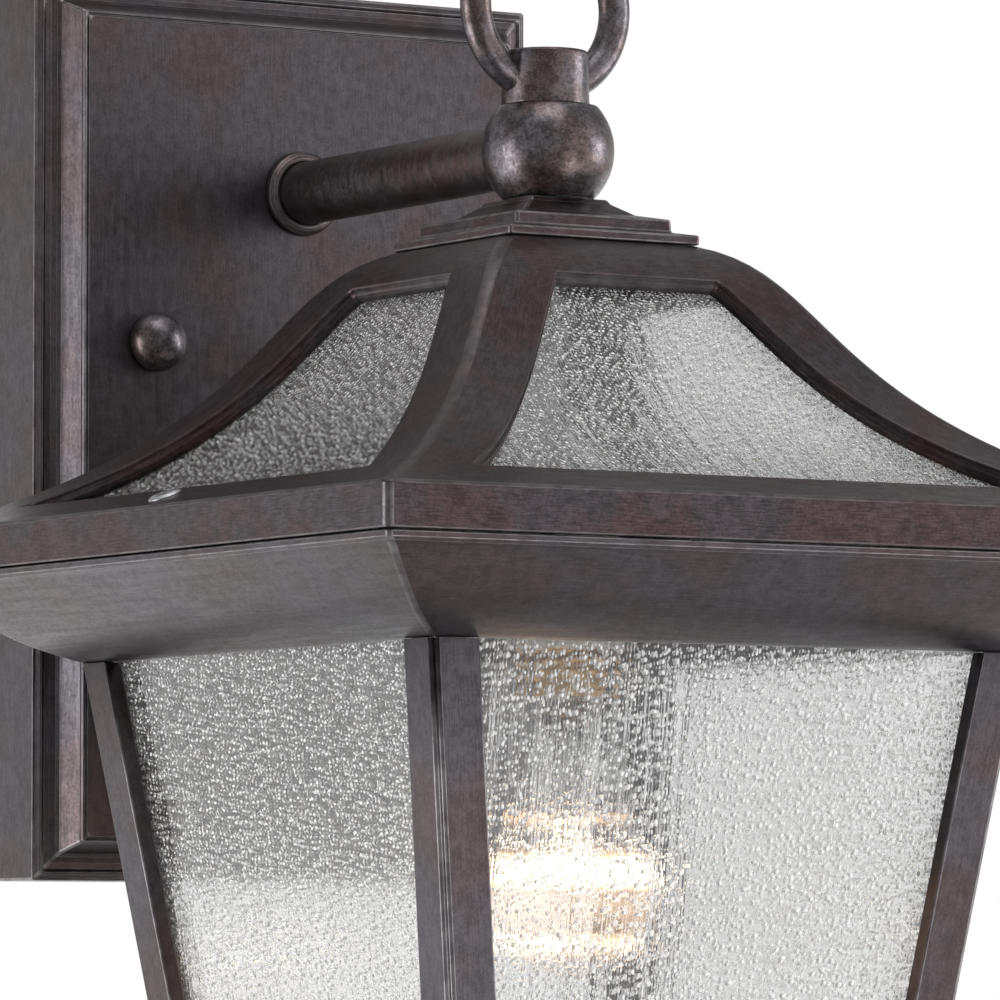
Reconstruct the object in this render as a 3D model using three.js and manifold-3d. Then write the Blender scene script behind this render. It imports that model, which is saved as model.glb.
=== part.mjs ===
// Outdoor wall lantern with a concave hipped glass roof and a tapered glass cage.
// Millimetres, +Z up, the wall is the plane y = 0 and the lantern stands out along -Y.
// The origin is the middle of the mounting bar's back face, on the wall.

import * as THREE from 'three';
import { mergeVertices } from 'three/addons/utils/BufferGeometryUtils.js';
import Module from 'manifold-3d';

const wasm = await Module();
wasm.setup();

// ---------------------------------------------------------------- driving dimensions

const GAP = 0.3; // clearance kept between touching pieces

// wall plate and what is behind it
const PLATE_WIDTH = 172;
const PLATE_HEIGHT = 270;
const PLATE_DROP = 25.4; // the plate's middle lies this far below the mounting bar
const LIP_DEPTH = 25; // wall to the plate's outer lip
const PANEL_DEPTH = 34.5; // wall to the front of the raised panel
const PLATE_WALL = 2.5;
const STUD_X = 51; // studs stand left and right of the middle
const STUD_RADIUS = 2.4;
const BAR_LENGTH = 128;
const BAR_HEIGHT = 20;
const BAR_THICK = 2;
const BOX_SCREW_X = 33.7; // slots for the junction box's own screws
const GROUND_X = 16;
const CAP_NUT_RADIUS = 8.9;
const CAP_NUT_HEIGHT = 9.8;

// arm, ball, neck and ring
const ARM_Z = 47.3;
const ARM_RADIUS = 9.5;
const ARM_BORE = 7.5;
const PIPE_RADIUS = 5.1; // threaded pipe that joins arm, ball, roof and socket
const PIPE_BORE = 3.3;
const BALL_RADIUS = 19.05;
const NECK_RADIUS = 11.75;
const RING_RADIUS = 23.5; // centre line
const RING_ROD = 4.5;

// lantern: its own axis, and the level of the cage's top edge
const AXIS_Y = -172.4;
const CAGE_TOP = -98;

// roof, heights above the cage's top edge, half widths from the axis
const EAVE_HALF = 133.4;
const FASCIA_LOW = 25.8;
const FASCIA_HIGH = 38.4;
const CROWN_HALF = 32;
const CROWN_Z = 116.4;
const FRAME_THICK = 5; // ribs and rails, square to the roof's surface
const ROOF_GLASS = 2.5;
const RIB_WIDTH = 23;
const WINDOW_LOW = 117.5; // half width where the glass meets the eave rail
const WINDOW_HIGH = 48.7; // half width where the glass meets the crown
const EAVE_SCREW = 121.5; // screws left and right, down through the eave into the cage

// cage
const CAGE_HALF = 97.9; // at the top edge
const CAGE_HEIGHT = 207;
const TAPER = 0.1429; // each side leans in by this much per millimetre down
const POST_WIDTH = 15;
const POST_THICK = 5.3;
const POST_CHAMFER = 1.5;
const SIDE_GLASS = 3;
const GLASS_INSET = POST_THICK + GAP;

// base frame, tray and hinge
const BASE_HALF = 75;
const BASE_OPENING = 56;
const BASE_HEIGHT = 17;
const TRAY_HALF = 67;
const TRAY_THICK = 3;
const TRAY_SHEET = 2.2;
const HINGE_RADIUS = 3;
const HINGE_PIN = 1.5;
const HINGE_LENGTH = 42;
const SCREW_RADIUS = 2;

// lamp holder and bulb, an A19 glass on an E26 screw base
const HOLDER_OFFSET = [4.5, -3]; // the holder hangs a little to one side of the pipe
const HOLDER_RADIUS = 18;
const HOLDER_LOW = 2;
const HOLDER_HIGH = 34;
const SHELL_RADIUS = 14.3;
const BULB_RADIUS = 30;
const BULB_TIP = -93.5;
const BULB_BASE_RADIUS = 13.1;
const BULB_WALL = 0.8;

// ---------------------------------------------------------------- materials

const finish = (color, roughness, metalness, extra = {}) =>
  new THREE.MeshStandardMaterial({ color, roughness, metalness, ...extra });

const BRONZE = finish(0x4a4142, 0.5, 0.6);
const STEEL = finish(0xa9abad, 0.4, 0.9);
const BRASS = finish(0xb98d4a, 0.35, 0.9);
const GREEN = finish(0x2f6b3a, 0.5, 0.6);
const PORCELAIN = finish(0xe6e2d8, 0.35, 0);
const SEEDED = finish(0xdfe4e2, 0.1, 0, { transparent: true, opacity: 0.35 });
const CLEAR = finish(0xf2f4f4, 0.03, 0, { transparent: true, opacity: 0.25 });
const TUNGSTEN = finish(0xffc070, 0.5, 0.5);

// ---------------------------------------------------------------- shape helpers

// Welds a geometry's vertices and drops the slivers that a lathe leaves on its axis.
function welded(geometry) {
  const bare = geometry.clone();
  bare.deleteAttribute('normal');
  bare.deleteAttribute('uv');
  const merged = mergeVertices(bare, 1e-4);
  const corners = merged.index.array;
  const kept = [];
  for (let i = 0; i < corners.length; i += 3) {
    const [a, b, c] = [corners[i], corners[i + 1], corners[i + 2]];
    if (a !== b && b !== c && c !== a) kept.push(a, b, c);
  }
  merged.setIndex(kept);
  return merged;
}

function toSolid(geometry) {
  const mesh = welded(geometry);
  return new wasm.Manifold(new wasm.Mesh({
    numProp: 3,
    vertProperties: new Float32Array(mesh.attributes.position.array),
    triVerts: new Uint32Array(mesh.index.array),
  }));
}

function toGeometry(body) {
  const mesh = body.getMesh();
  const geometry = new THREE.BufferGeometry();
  geometry.setAttribute('position', new THREE.BufferAttribute(mesh.vertProperties, 3));
  geometry.setIndex(new THREE.BufferAttribute(mesh.triVerts, 1));
  return geometry;
}

function cut(geometry, ...tools) {
  return toGeometry(tools.reduce((body, tool) => body.subtract(toSolid(tool)), toSolid(geometry)));
}

function join(geometry, ...others) {
  return toGeometry(others.reduce((body, other) => body.add(toSolid(other)), toSolid(geometry)));
}

function common(geometry, region) {
  return toGeometry(toSolid(geometry).intersect(toSolid(region)));
}

const points = (pairs) => pairs.map(([x, y]) => new THREE.Vector2(x, y));
const outline = (pairs) => new THREE.Shape(points(pairs));

// Turns a (radius, height) outline about Z.
function turned(pairs, segments) {
  return new THREE.LatheGeometry(points(pairs), segments).rotateX(Math.PI / 2);
}

// Carries a (half width, height) outline round a square, with mitred corners.
function squared(pairs) {
  const wide = pairs.map(([half, height]) => [half * Math.SQRT2, height]);
  return new THREE.LatheGeometry(points(wide), 4, Math.PI / 4).rotateX(Math.PI / 2);
}

// An outline in the XY plane, from one height to another.
function prism(shape, low, high, curveSegments = 8) {
  const geometry = new THREE.ExtrudeGeometry(shape, {
    depth: high - low, bevelEnabled: false, curveSegments,
  });
  return geometry.translate(0, 0, low);
}

// A bar of round section along Z, used for shanks, pins and the holes they pass.
function rod(radius, low, high, segments = 16) {
  return turned([[0, low], [radius, low], [radius, high], [0, high]], segments);
}

function tube(radius, bore, low, high, segments = 20) {
  return turned(
    [[bore, low], [radius, low], [radius, high], [bore, high], [bore, low]], segments);
}

function hexNut(acrossFlats, bore, low, high) {
  const corner = acrossFlats / Math.sqrt(3);
  const shape = outline(Array.from({ length: 6 }, (_, i) => [
    corner * Math.cos((i * Math.PI) / 3), corner * Math.sin((i * Math.PI) / 3)]));
  shape.holes.push(new THREE.Path().absarc(0, 0, bore, 0, 2 * Math.PI));
  return prism(shape, low, high, 8);
}

// A round rod along a curve, closed at both ends.
function rodAlong(curve, radius, sides, steps) {
  const ring = outline(Array.from({ length: sides }, (_, i) => [
    radius * Math.cos((i * 2 * Math.PI) / sides), radius * Math.sin((i * 2 * Math.PI) / sides)]));
  return new THREE.ExtrudeGeometry(ring, { steps, extrudePath: curve, bevelEnabled: false });
}

// Slides every level sideways in proportion to its height.
function leaned(geometry, alongX, alongY) {
  const shear = new THREE.Matrix4().makeShear(0, 0, 0, 0, alongX, alongY);
  return geometry.applyMatrix4(shear);
}

function box(x, y, z) {
  return new THREE.BoxGeometry(x[1] - x[0], y[1] - y[0], z[1] - z[0]).translate(
    (x[0] + x[1]) / 2, (y[0] + y[1]) / 2, (z[0] + z[1]) / 2);
}

// ---------------------------------------------------------------- scene graph

const lamp = new THREE.Group();

// Pieces on the wall are drawn lying flat, with +Z for "out of the wall".
const wallSide = new THREE.Group();
wallSide.rotation.x = Math.PI / 2;
lamp.add(wallSide);

const lantern = new THREE.Group();
lantern.position.set(0, AXIS_Y, CAGE_TOP);
lamp.add(lantern);

function place(name, geometry, material, parent = lantern, position = [0, 0, 0], turn = 0) {
  const mesh = new THREE.Mesh(geometry, material.clone());
  mesh.name = name;
  mesh.position.set(...position);
  mesh.rotation.z = turn;
  parent.add(mesh);
}

// Four sides or corners, each a quarter turn on from the last.
const SIDES = ['front', 'right', 'back', 'left'];
const CORNERS = ['front_left', 'front_right', 'back_right', 'back_left'];

function placeFour(prefix, names, geometry, material) {
  names.forEach((name, i) => place(
    `${prefix}_${name}`, geometry.clone(), material, lantern, [0, 0, 0], (i * Math.PI) / 2));
}

// ---------------------------------------------------------------- wall plate

// Moulded edge of the plate: how far in from the edge, and how far out from the lip.
const PLATE_MOULDING = [
  [0, 0], [2.3, 1.5], [5.3, -0.7], [7.6, -0.8], [9.1, 1.8], [10.6, 5.9], [12.7, 9.6],
  [15.2, 9.6], [16, 8.9], [16.8, 9.5],
];

function wallPlate() {
  const edge = PLATE_HEIGHT / 2;
  const inner = PANEL_DEPTH - PLATE_WALL;
  const section = [
    [0, inner], [edge - 15.2, inner], [edge - 11.8, LIP_DEPTH - 3],
    [edge - PLATE_WALL, LIP_DEPTH - 3.5], [edge - PLATE_WALL, 0], [edge, 0],
    ...PLATE_MOULDING.map(([inward, out]) => [edge - inward, LIP_DEPTH + out]),
    [0, PANEL_DEPTH],
  ];
  const geometry = squared(section);
  const narrower = (PLATE_HEIGHT - PLATE_WIDTH) / 2;
  const position = geometry.attributes.position;
  for (let i = 0; i < position.count; i += 1) {
    const x = position.getX(i);
    if (Math.abs(x) > narrower) position.setX(i, x - Math.sign(x) * narrower);
  }
  geometry.translate(0, -PLATE_DROP, 0);
  const studHoles = [-STUD_X, STUD_X].map(
    (x) => rod(STUD_RADIUS + GAP, 20, 40).translate(x, 0, 0));
  const armHole = rod(PIPE_RADIUS + GAP, 20, 40).translate(0, ARM_Z, 0);
  return cut(geometry, ...studHoles, armHole);
}

function mountingBar() {
  const end = BAR_LENGTH / 2 - BAR_HEIGHT / 2;
  const shape = new THREE.Shape();
  shape.absarc(end, 0, BAR_HEIGHT / 2, -Math.PI / 2, Math.PI / 2);
  shape.absarc(-end, 0, BAR_HEIGHT / 2, Math.PI / 2, (3 * Math.PI) / 2);
  for (const side of [-1, 1]) {
    shape.holes.push(
      new THREE.Path().absarc(side * STUD_X, 0, STUD_RADIUS + GAP, 0, 2 * Math.PI));
    const slot = new THREE.Path();
    slot.absarc(side * BOX_SCREW_X + 3, 0, 2.2, -Math.PI / 2, Math.PI / 2);
    slot.absarc(side * BOX_SCREW_X - 3, 0, 2.2, Math.PI / 2, (3 * Math.PI) / 2);
    shape.holes.push(slot);
  }
  shape.holes.push(new THREE.Path().absarc(-GROUND_X, 0, 2, 0, 2 * Math.PI));
  return prism(shape, 0, BAR_THICK, 6);
}

function capNut() {
  const arc = Array.from({ length: 7 }, (_, i) => {
    const angle = (i * Math.PI) / 12;
    return [CAP_NUT_RADIUS * Math.cos(angle), 1.9 + (CAP_NUT_HEIGHT - 1.9) * Math.sin(angle)];
  });
  arc[6][0] = 0;
  const bore = STUD_RADIUS + GAP;
  return turned([[0, 6.8], [bore, 6.8], [bore, 0], [7.4, 0], [8.5, 0.6], ...arc], 20);
}

place('wall_plate', wallPlate(), BRONZE, wallSide);
place('mounting_bar', mountingBar(), STEEL, wallSide);
for (const [side, name] of [[-1, 'left'], [1, 'right']]) {
  const x = side * STUD_X;
  place(`mount_stud_${name}`, rod(STUD_RADIUS, 0, PANEL_DEPTH + 6.5, 12), STEEL, wallSide,
    [x, 0, 0]);
  place(`stud_nut_${name}`, hexNut(9, STUD_RADIUS + GAP, BAR_THICK + GAP, BAR_THICK + 4), STEEL,
    wallSide, [x, 0, 0]);
  place(`cap_nut_${name}`, capNut(), BRONZE, wallSide, [x, 0, PANEL_DEPTH + GAP]);
}
const groundScrew = turned(
  [[0, 0.2], [1.7, 0.2], [1.7, 2.3], [4, 2.3], [4, 4.2], [2.8, 5], [0, 5]], 14);
place('ground_screw', groundScrew, GREEN, wallSide, [-GROUND_X, 0, 0]);

// ---------------------------------------------------------------- arm

const ballReach = -AXIS_Y; // wall to the ball's centre
const armStart = PANEL_DEPTH + GAP;
const armEnd = ballReach - 14;

// The wall end is thicker, to take the threaded pipe.
const armTube = turned([
  [PIPE_RADIUS + GAP, armStart], [ARM_RADIUS, armStart], [ARM_RADIUS, armEnd],
  [ARM_BORE, armEnd], [ARM_BORE, armStart + 12], [PIPE_RADIUS + GAP, armStart + 12],
  [PIPE_RADIUS + GAP, armStart]], 20);
place('arm_tube', armTube, BRONZE, wallSide, [0, ARM_Z, 0]);

const collarBore = ARM_RADIUS + GAP;
const armCollar = turned([
  [collarBore, 0], [12.4, 0], [12.8, 1], [12.4, 2.2], [11.4, 3], [10.4, 3.3],
  [collarBore, 3.3], [collarBore, 0]], 20);
place('arm_collar', armCollar, BRONZE, wallSide, [0, ARM_Z, armStart]);
place('arm_pipe', tube(PIPE_RADIUS, PIPE_BORE, 22, 45, 14), STEEL, wallSide, [0, ARM_Z, 0]);
const plateInside = PANEL_DEPTH - PLATE_WALL;
place('arm_lock_nut', hexNut(17, PIPE_RADIUS + GAP, plateInside - 5, plateInside - GAP), STEEL,
  wallSide, [0, ARM_Z, 0]);

// ---------------------------------------------------------------- ball, neck and ring

const BALL_Z = ARM_Z - CAGE_TOP; // heights from here on are above the cage's top edge
const BALL_FLAT = 13.9; // the ball is cut flat this far above and below its centre
const NECK_TOP = BALL_Z + 28.3;
const RING_Z = BALL_Z + 41.2;
const RING_END = 8.5; // the ring's ends stop this far from the axis, inside the neck

// A ball on the axis between its two flats.
function ball() {
  const steps = 12;
  const limit = Math.asin(BALL_FLAT / BALL_RADIUS);
  const arc = Array.from({ length: steps + 1 }, (_, i) => {
    const angle = -limit + (2 * limit * i) / steps;
    return [BALL_RADIUS * Math.cos(angle), BALL_RADIUS * Math.sin(angle)];
  });
  const body = turned([[0, -BALL_FLAT], ...arc, [0, BALL_FLAT]], 24);
  const pipeHole = rod(PIPE_RADIUS + GAP, -20, 20);
  const armSocket = rod(ARM_RADIUS + GAP, 14 - GAP, 25, 20).rotateX(-Math.PI / 2);
  const wireWay = rod(4, 0, 20, 12).rotateX(-Math.PI / 2);
  return cut(body, pipeHole, armSocket, wireWay);
}

// The ring is open at the bottom, where its two ends enter the neck.
function ringCurve(halfGap) {
  const start = -Math.PI / 2 + Math.asin(halfGap / RING_RADIUS);
  const sweep = 2 * Math.PI - 2 * Math.asin(halfGap / RING_RADIUS);
  const steps = 32;
  const arc = Array.from({ length: steps + 1 }, (_, i) => {
    const angle = start + (sweep * i) / steps;
    return new THREE.Vector3(
      RING_RADIUS * Math.cos(angle), 0, RING_Z + RING_RADIUS * Math.sin(angle));
  });
  return new THREE.CatmullRomCurve3(arc);
}

const NECK_LOW = BALL_Z + BALL_FLAT + GAP;

function neck() {
  const body = turned([
    [0, NECK_LOW], [12.6, NECK_LOW], [12.1, NECK_LOW + 1.2], [NECK_RADIUS, NECK_LOW + 2.4],
    [NECK_RADIUS, NECK_TOP - 1], [NECK_RADIUS - 1, NECK_TOP], [0, NECK_TOP]], 24);
  const ringEnds = rodAlong(ringCurve(RING_END - GAP), RING_ROD + GAP, 8, 28);
  const pipeHole = rod(PIPE_RADIUS + GAP, NECK_LOW - 5, NECK_LOW + 4 + GAP, 14);
  return cut(body, ringEnds, pipeHole);
}

place('arm_ball', ball(), BRONZE, lantern, [0, 0, BALL_Z]);
place('ring_neck', neck(), BRONZE);
place('top_ring', rodAlong(ringCurve(RING_END), RING_ROD, 8, 28), BRONZE);

// ---------------------------------------------------------------- roof

// The hip's outline: it leaves the crown flat, falls steeply, and flares out at the eave.
const hip = new THREE.CubicBezierCurve(
  new THREE.Vector2(CROWN_HALF, CROWN_Z), new THREE.Vector2(61.5, 107.9),
  new THREE.Vector2(55.5, 64.6), new THREE.Vector2(EAVE_HALF, FASCIA_HIGH));

// Where the outline passes a given half width.
function hipAt(half) {
  let [low, high] = [0, 1];
  for (let i = 0; i < 40; i += 1) {
    const middle = (low + high) / 2;
    if (hip.getPoint(middle).x < half) low = middle;
    else high = middle;
  }
  return low;
}

// The stretch of outline between two half widths, sunk square to itself, from the lower
// end to the upper one.
function roofLine(fromHalf, toHalf, sunk, steps) {
  const [from, to] = [hipAt(fromHalf), hipAt(toHalf)];
  return Array.from({ length: steps + 1 }, (_, i) => {
    const t = from + ((to - from) * i) / steps;
    const at = hip.getPoint(t);
    const along = hip.getTangent(t);
    return [at.x + along.y * sunk, at.y - along.x * sunk];
  });
}

// A layer of the roof between two depths, all the way round.
function roofLayer(fromHalf, toHalf, outerSunk, innerSunk, steps) {
  const outer = roofLine(fromHalf, toHalf, outerSunk, steps);
  const inner = roofLine(fromHalf, toHalf, innerSunk, steps).reverse();
  return squared([...outer, ...inner, outer[0]]);
}

function roofCap() {
  const low = CROWN_Z + GAP;
  const body = squared([
    [0, low], [CROWN_HALF, low], [CROWN_HALF, low + 3.1], [25.9, low + 4.3], [25.7, low + 8.1],
    [18.9, low + 9.6], [13.9, low + 12.9], [12.9, BALL_Z - BALL_FLAT - GAP],
    [0, BALL_Z - BALL_FLAT - GAP]]);
  return cut(body, rod(PIPE_RADIUS + GAP, CROWN_Z - 5, BALL_Z));
}

function roofCrown() {
  const outer = roofLine(WINDOW_HIGH, CROWN_HALF, 0, 4);
  const inner = roofLine(WINDOW_HIGH, CROWN_HALF, FRAME_THICK, 4).reverse();
  const body = squared([[0, CROWN_Z - FRAME_THICK], ...inner, ...outer, [0, CROWN_Z]]);
  return cut(body, rod(PIPE_RADIUS + GAP, CROWN_Z - 20, BALL_Z));
}

// One hip rib, at the front left corner.
function roofRib() {
  const low = WINDOW_LOW - GAP;
  const high = WINDOW_HIGH + GAP + 0.2;
  const band = outline([
    [-high, -high], [-high, RIB_WIDTH - high], [-low, RIB_WIDTH - low], [-low, -low],
    [RIB_WIDTH - low, -low], [RIB_WIDTH - high, -high]]);
  return common(roofLayer(EAVE_HALF - 6, CROWN_HALF + 6, 0, FRAME_THICK, 14), prism(band, 0, 150));
}

// The eave: a sloping rail over an upright fascia, hollow underneath.
function roofRim() {
  const outer = roofLine(EAVE_HALF, WINDOW_LOW, 0, 4);
  const inner = roofLine(EAVE_HALF - 7, WINDOW_LOW + 2, FRAME_THICK, 3).reverse();
  const section = [
    [EAVE_HALF, FASCIA_LOW], ...outer, ...inner, [EAVE_HALF - 5, FASCIA_HIGH - 7],
    [EAVE_HALF - 5, FASCIA_LOW], [EAVE_HALF, FASCIA_LOW]];
  const holes = [-1, 1].map(
    (side) => rod(SCREW_RADIUS + GAP, 20, 60, 12).translate(side * EAVE_SCREW, 0, 0));
  return cut(squared(section), ...holes);
}

// One bent pane, at the front, tucked under the frame on all four edges.
function roofPane() {
  const [low, high] = [WINDOW_LOW + 4, WINDOW_HIGH - 4];
  const overlap = 9; // how far each pane stops short of the hip
  const region = outline([
    [-(low - overlap), -low - 20], [low - overlap, -low - 20], [low - overlap, -low],
    [high - overlap, -high], [overlap - high, -high], [overlap - low, -low]]);
  const glassTop = FRAME_THICK + GAP;
  const layer = roofLayer(low, high, glassTop, glassTop + ROOF_GLASS, 10);
  return common(layer, prism(region, 0, 150));
}

const eaveScrewSeat = hip.getPoint(hipAt(EAVE_SCREW)).y;

placeFour('roof_rib', CORNERS, roofRib(), BRONZE);
placeFour('roof_pane', SIDES, roofPane(), SEEDED);
place('roof_cap', roofCap(), BRONZE);
place('roof_crown', roofCrown(), BRONZE);
place('roof_rim', roofRim(), BRONZE);

const eaveScrew = turned([
  [0, -16], [SCREW_RADIUS, -16], [SCREW_RADIUS, 2.6], [5.5, 2.6], [5.5, 3.4], [4.2, 4.6],
  [0, 5.2]], 14);
for (const [side, name] of [[-1, 'left'], [1, 'right']]) {
  place(`eave_screw_${name}`, eaveScrew.clone(), BRONZE, lantern,
    [side * EAVE_SCREW, 0, eaveScrewSeat]);
}

// ---------------------------------------------------------------- cage

// Half width of the cage's outer faces at a height.
const cageHalf = (z) => CAGE_HALF + TAPER * z;

const CAGE_FLANGE = FASCIA_LOW - GAP;

// The moulding under the eave: a small lip, then a swelling curve in to the posts.
function cageTop() {
  const steps = 6;
  const curve = new THREE.CubicBezierCurve(
    new THREE.Vector2(97.6, -0.3), new THREE.Vector2(112, 5.2),
    new THREE.Vector2(117.6, 9.4), new THREE.Vector2(130, 21.8));
  const swell = Array.from({ length: steps + 1 }, (_, i) => {
    const at = curve.getPoint(i / steps);
    return [at.x, at.y];
  });
  const section = [
    [93.4, -0.3], ...swell, [131.6, 22.8], [132.3, CAGE_FLANGE], [119, CAGE_FLANGE],
    [119, 22.5], [122.5, 22.5], [119.5, 18], [111, 10], [102, 6], [94, 4.6], [93.4, -0.3]];
  const holes = [-1, 1].map(
    (side) => rod(SCREW_RADIUS + GAP, 15, 30, 12).translate(side * EAVE_SCREW, 0, 0));
  return cut(squared(section), ...holes);
}

// One corner post, at the front left: an angle that leans in on both faces.
function cornerPost() {
  const section = outline([
    [0, POST_CHAMFER], [POST_CHAMFER, 0], [POST_WIDTH, 0], [POST_WIDTH, POST_THICK],
    [POST_THICK, POST_THICK], [POST_THICK, POST_WIDTH], [0, POST_WIDTH]]);
  const bar = prism(section, -CAGE_HEIGHT + GAP, -2 * GAP);
  return leaned(bar, -TAPER, -TAPER).translate(-CAGE_HALF, -CAGE_HALF, 0);
}

// One side pane, at the front.
function sidePane() {
  const [low, high] = [-CAGE_HEIGHT + GAP, 3];
  const inset = 9; // from the cage's corner to the pane's edge
  const face = outline([
    [inset - cageHalf(low), low], [cageHalf(low) - inset, low],
    [cageHalf(high) - inset, high], [inset - cageHalf(high), high]]);
  const sheet = prism(face, 0, SIDE_GLASS).rotateX(Math.PI / 2);
  return leaned(sheet, 0, -TAPER).translate(0, GLASS_INSET + SIDE_GLASS - CAGE_HALF, 0);
}

// The frame the posts and the glass stand on.
const BASE_TOP = -CAGE_HEIGHT;
const BASE_LOW = BASE_TOP - BASE_HEIGHT;
const LATCH_Y = -61.5;

function baseFrame() {
  const section = [
    [BASE_OPENING, BASE_LOW], [BASE_HALF - 3, BASE_LOW], [BASE_HALF - 0.8, BASE_LOW + 1],
    [BASE_HALF, BASE_LOW + 3], [BASE_HALF, BASE_LOW + 7], [BASE_HALF - 1.6, BASE_LOW + 10],
    [BASE_HALF - 5, BASE_LOW + 12.5], [BASE_HALF - 5, BASE_TOP - GAP],
    [BASE_OPENING, BASE_TOP - GAP], [BASE_OPENING, BASE_LOW]];
  const latchHole = rod(SCREW_RADIUS + 0.8, BASE_LOW - 1, BASE_LOW + 9, 12).translate(0, LATCH_Y, 0);
  return cut(squared(section), latchHole);
}

// Spring clips that press each pane outward against its posts.
function glassClip() {
  const inside = cageHalf(BASE_TOP) - GLASS_INSET - SIDE_GLASS - GAP;
  const section = outline([
    [-inside, 0], [-inside + 6, 0], [-inside + 6, 0.8], [-inside + 0.8, 0.8],
    [-inside + 0.8, 9], [-inside, 9]]);
  const strip = prism(section, -6, 6);
  strip.applyMatrix4(new THREE.Matrix4().set(0, 0, 1, 0, 1, 0, 0, 0, 0, 1, 0, 0, 0, 0, 0, 1));
  return leaned(strip, 0, -TAPER).translate(0, 0.2, BASE_TOP);
}

placeFour('corner_post', CORNERS, cornerPost(), BRONZE);
placeFour('side_pane', SIDES, sidePane(), SEEDED);
placeFour('glass_clip', SIDES, glassClip(), STEEL);
place('cage_top', cageTop(), BRONZE);
place('base_frame', baseFrame(), BRONZE);

// ---------------------------------------------------------------- hinged tray

const TRAY_TOP = BASE_LOW - GAP;
const TRAY_LOW = TRAY_TOP - TRAY_THICK;
const HINGE_Y = BASE_HALF + HINGE_RADIUS + 0.5;
const HINGE_Z = TRAY_TOP - 1.5;

function tray() {
  const under = [
    [0, -7], [15, -7], [17, -5.5], [38, -4], [40, -2.5], [53, -1.5], [55, 0]];
  const above = under.map(([half, z]) => [Math.max(half - 1, 0), z + TRAY_SHEET]).reverse();
  const level = ([half, z]) => [half, TRAY_LOW + z];
  const body = squared([
    ...under.map(level), [TRAY_HALF, TRAY_LOW], [TRAY_HALF, TRAY_TOP], [54, TRAY_TOP],
    ...above.map(level)]);
  const latchHole = rod(SCREW_RADIUS + GAP, TRAY_LOW - 9, TRAY_TOP + 2, 12).translate(0, LATCH_Y, 0);
  return cut(body, latchHole);
}

function trayFinial() {
  const top = TRAY_LOW - 7 - GAP;
  return turned([
    [0, top - 28], [1.6, top - 27.4], [3.2, top - 25], [4.2, top - 22.5], [7.6, top - 20],
    [9.4, top - 16], [9.8, top - 12.5], [8.6, top - 9], [5.6, top - 6.2], [5, top - 4.6],
    [8, top - 3.4], [9.5, top - 1.8], [9.5, top], [0, top]], 20);
}

// A knuckle of the hinge between two places along X.
function knuckle(from, to) {
  return tube(HINGE_RADIUS, HINGE_PIN + GAP, from, to, 14).rotateY(Math.PI / 2);
}

const KNUCKLE = HINGE_LENGTH / 3;

function frameLeaf() {
  const face = BASE_HALF + GAP;
  const plateUp = box([-HINGE_LENGTH / 2, HINGE_LENGTH / 2], [face, face + 1.4],
    [HINGE_Z + 2, BASE_LOW + 7]);
  const notch = box([-KNUCKLE / 2 - GAP, KNUCKLE / 2 + GAP], [face - 1, face + 9],
    [HINGE_Z - 4, BASE_LOW + 1]);
  const ends = [-1, 1].map((side) => {
    const [a, b] = [side * (KNUCKLE / 2 + GAP), (side * HINGE_LENGTH) / 2];
    return knuckle(Math.min(a, b), Math.max(a, b)).translate(0, HINGE_Y, HINGE_Z);
  });
  return cut(join(plateUp, ...ends), notch, rod(HINGE_PIN + GAP, -30, 30, 14)
    .rotateY(Math.PI / 2).translate(0, HINGE_Y, HINGE_Z));
}

function trayLeaf() {
  const half = KNUCKLE / 2 - GAP;
  const low = TRAY_LOW - GAP - 1.4;
  const strip = box([-half, half], [TRAY_HALF - 12, HINGE_Y], [low, low + 1.4]);
  const riser = box([-half, half], [HINGE_Y - 1.4, HINGE_Y], [low, HINGE_Z - HINGE_PIN - 1]);
  return cut(join(strip, riser, knuckle(-half, half).translate(0, HINGE_Y, HINGE_Z)),
    rod(HINGE_PIN + GAP, -30, 30, 14).rotateY(Math.PI / 2).translate(0, HINGE_Y, HINGE_Z));
}

// Thumb screw through the tray's front edge into the base frame, with a fluted head.
function thumbScrew() {
  const flutes = 12;
  const head = outline(Array.from({ length: 2 * flutes }, (_, i) => {
    const radius = i % 2 ? 6 : 5.4;
    return [radius * Math.cos((i * Math.PI) / flutes), radius * Math.sin((i * Math.PI) / flutes)];
  }));
  const headTop = TRAY_LOW - GAP;
  return join(prism(head, headTop - 7, headTop), rod(SCREW_RADIUS, headTop - 1, BASE_LOW + 6, 12));
}

place('tray', tray(), BRONZE);
place('tray_finial', trayFinial(), BRONZE);
place('frame_hinge_leaf', frameLeaf(), BRONZE);
place('tray_hinge_leaf', trayLeaf(), BRONZE);
place('hinge_pin', rod(HINGE_PIN, -HINGE_LENGTH / 2 - 1, HINGE_LENGTH / 2 + 1, 12)
  .rotateY(Math.PI / 2), STEEL, lantern, [0, HINGE_Y, HINGE_Z]);
place('thumb_screw', thumbScrew(), BRONZE, lantern, [0, LATCH_Y, 0]);

// ---------------------------------------------------------------- lamp holder

const pipeLow = HOLDER_HIGH + 3;
place('lantern_pipe', tube(PIPE_RADIUS, PIPE_BORE, pipeLow, NECK_LOW + 4, 14), STEEL);
place('roof_lock_nut', hexNut(17, PIPE_RADIUS + GAP, CROWN_Z - FRAME_THICK - 5,
  CROWN_Z - FRAME_THICK - GAP), STEEL);

// A cup over the holder's top, with a threaded boss for the pipe.
function holderCap() {
  const low = HOLDER_HIGH + GAP;
  const cup = turned([[0, low], [16, low], [16, low + 2], [13, low + 4], [0, low + 4]], 20)
    .translate(...HOLDER_OFFSET, 0);
  const boss = rod(9, low, low + 12, 20);
  return cut(join(cup, boss), rod(PIPE_RADIUS + GAP, pipeLow - GAP, low + 20, 14));
}

const holder = new THREE.Group();
holder.position.set(...HOLDER_OFFSET, 0);
lantern.add(holder);
place('holder_cap', holderCap(), STEEL);

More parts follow.
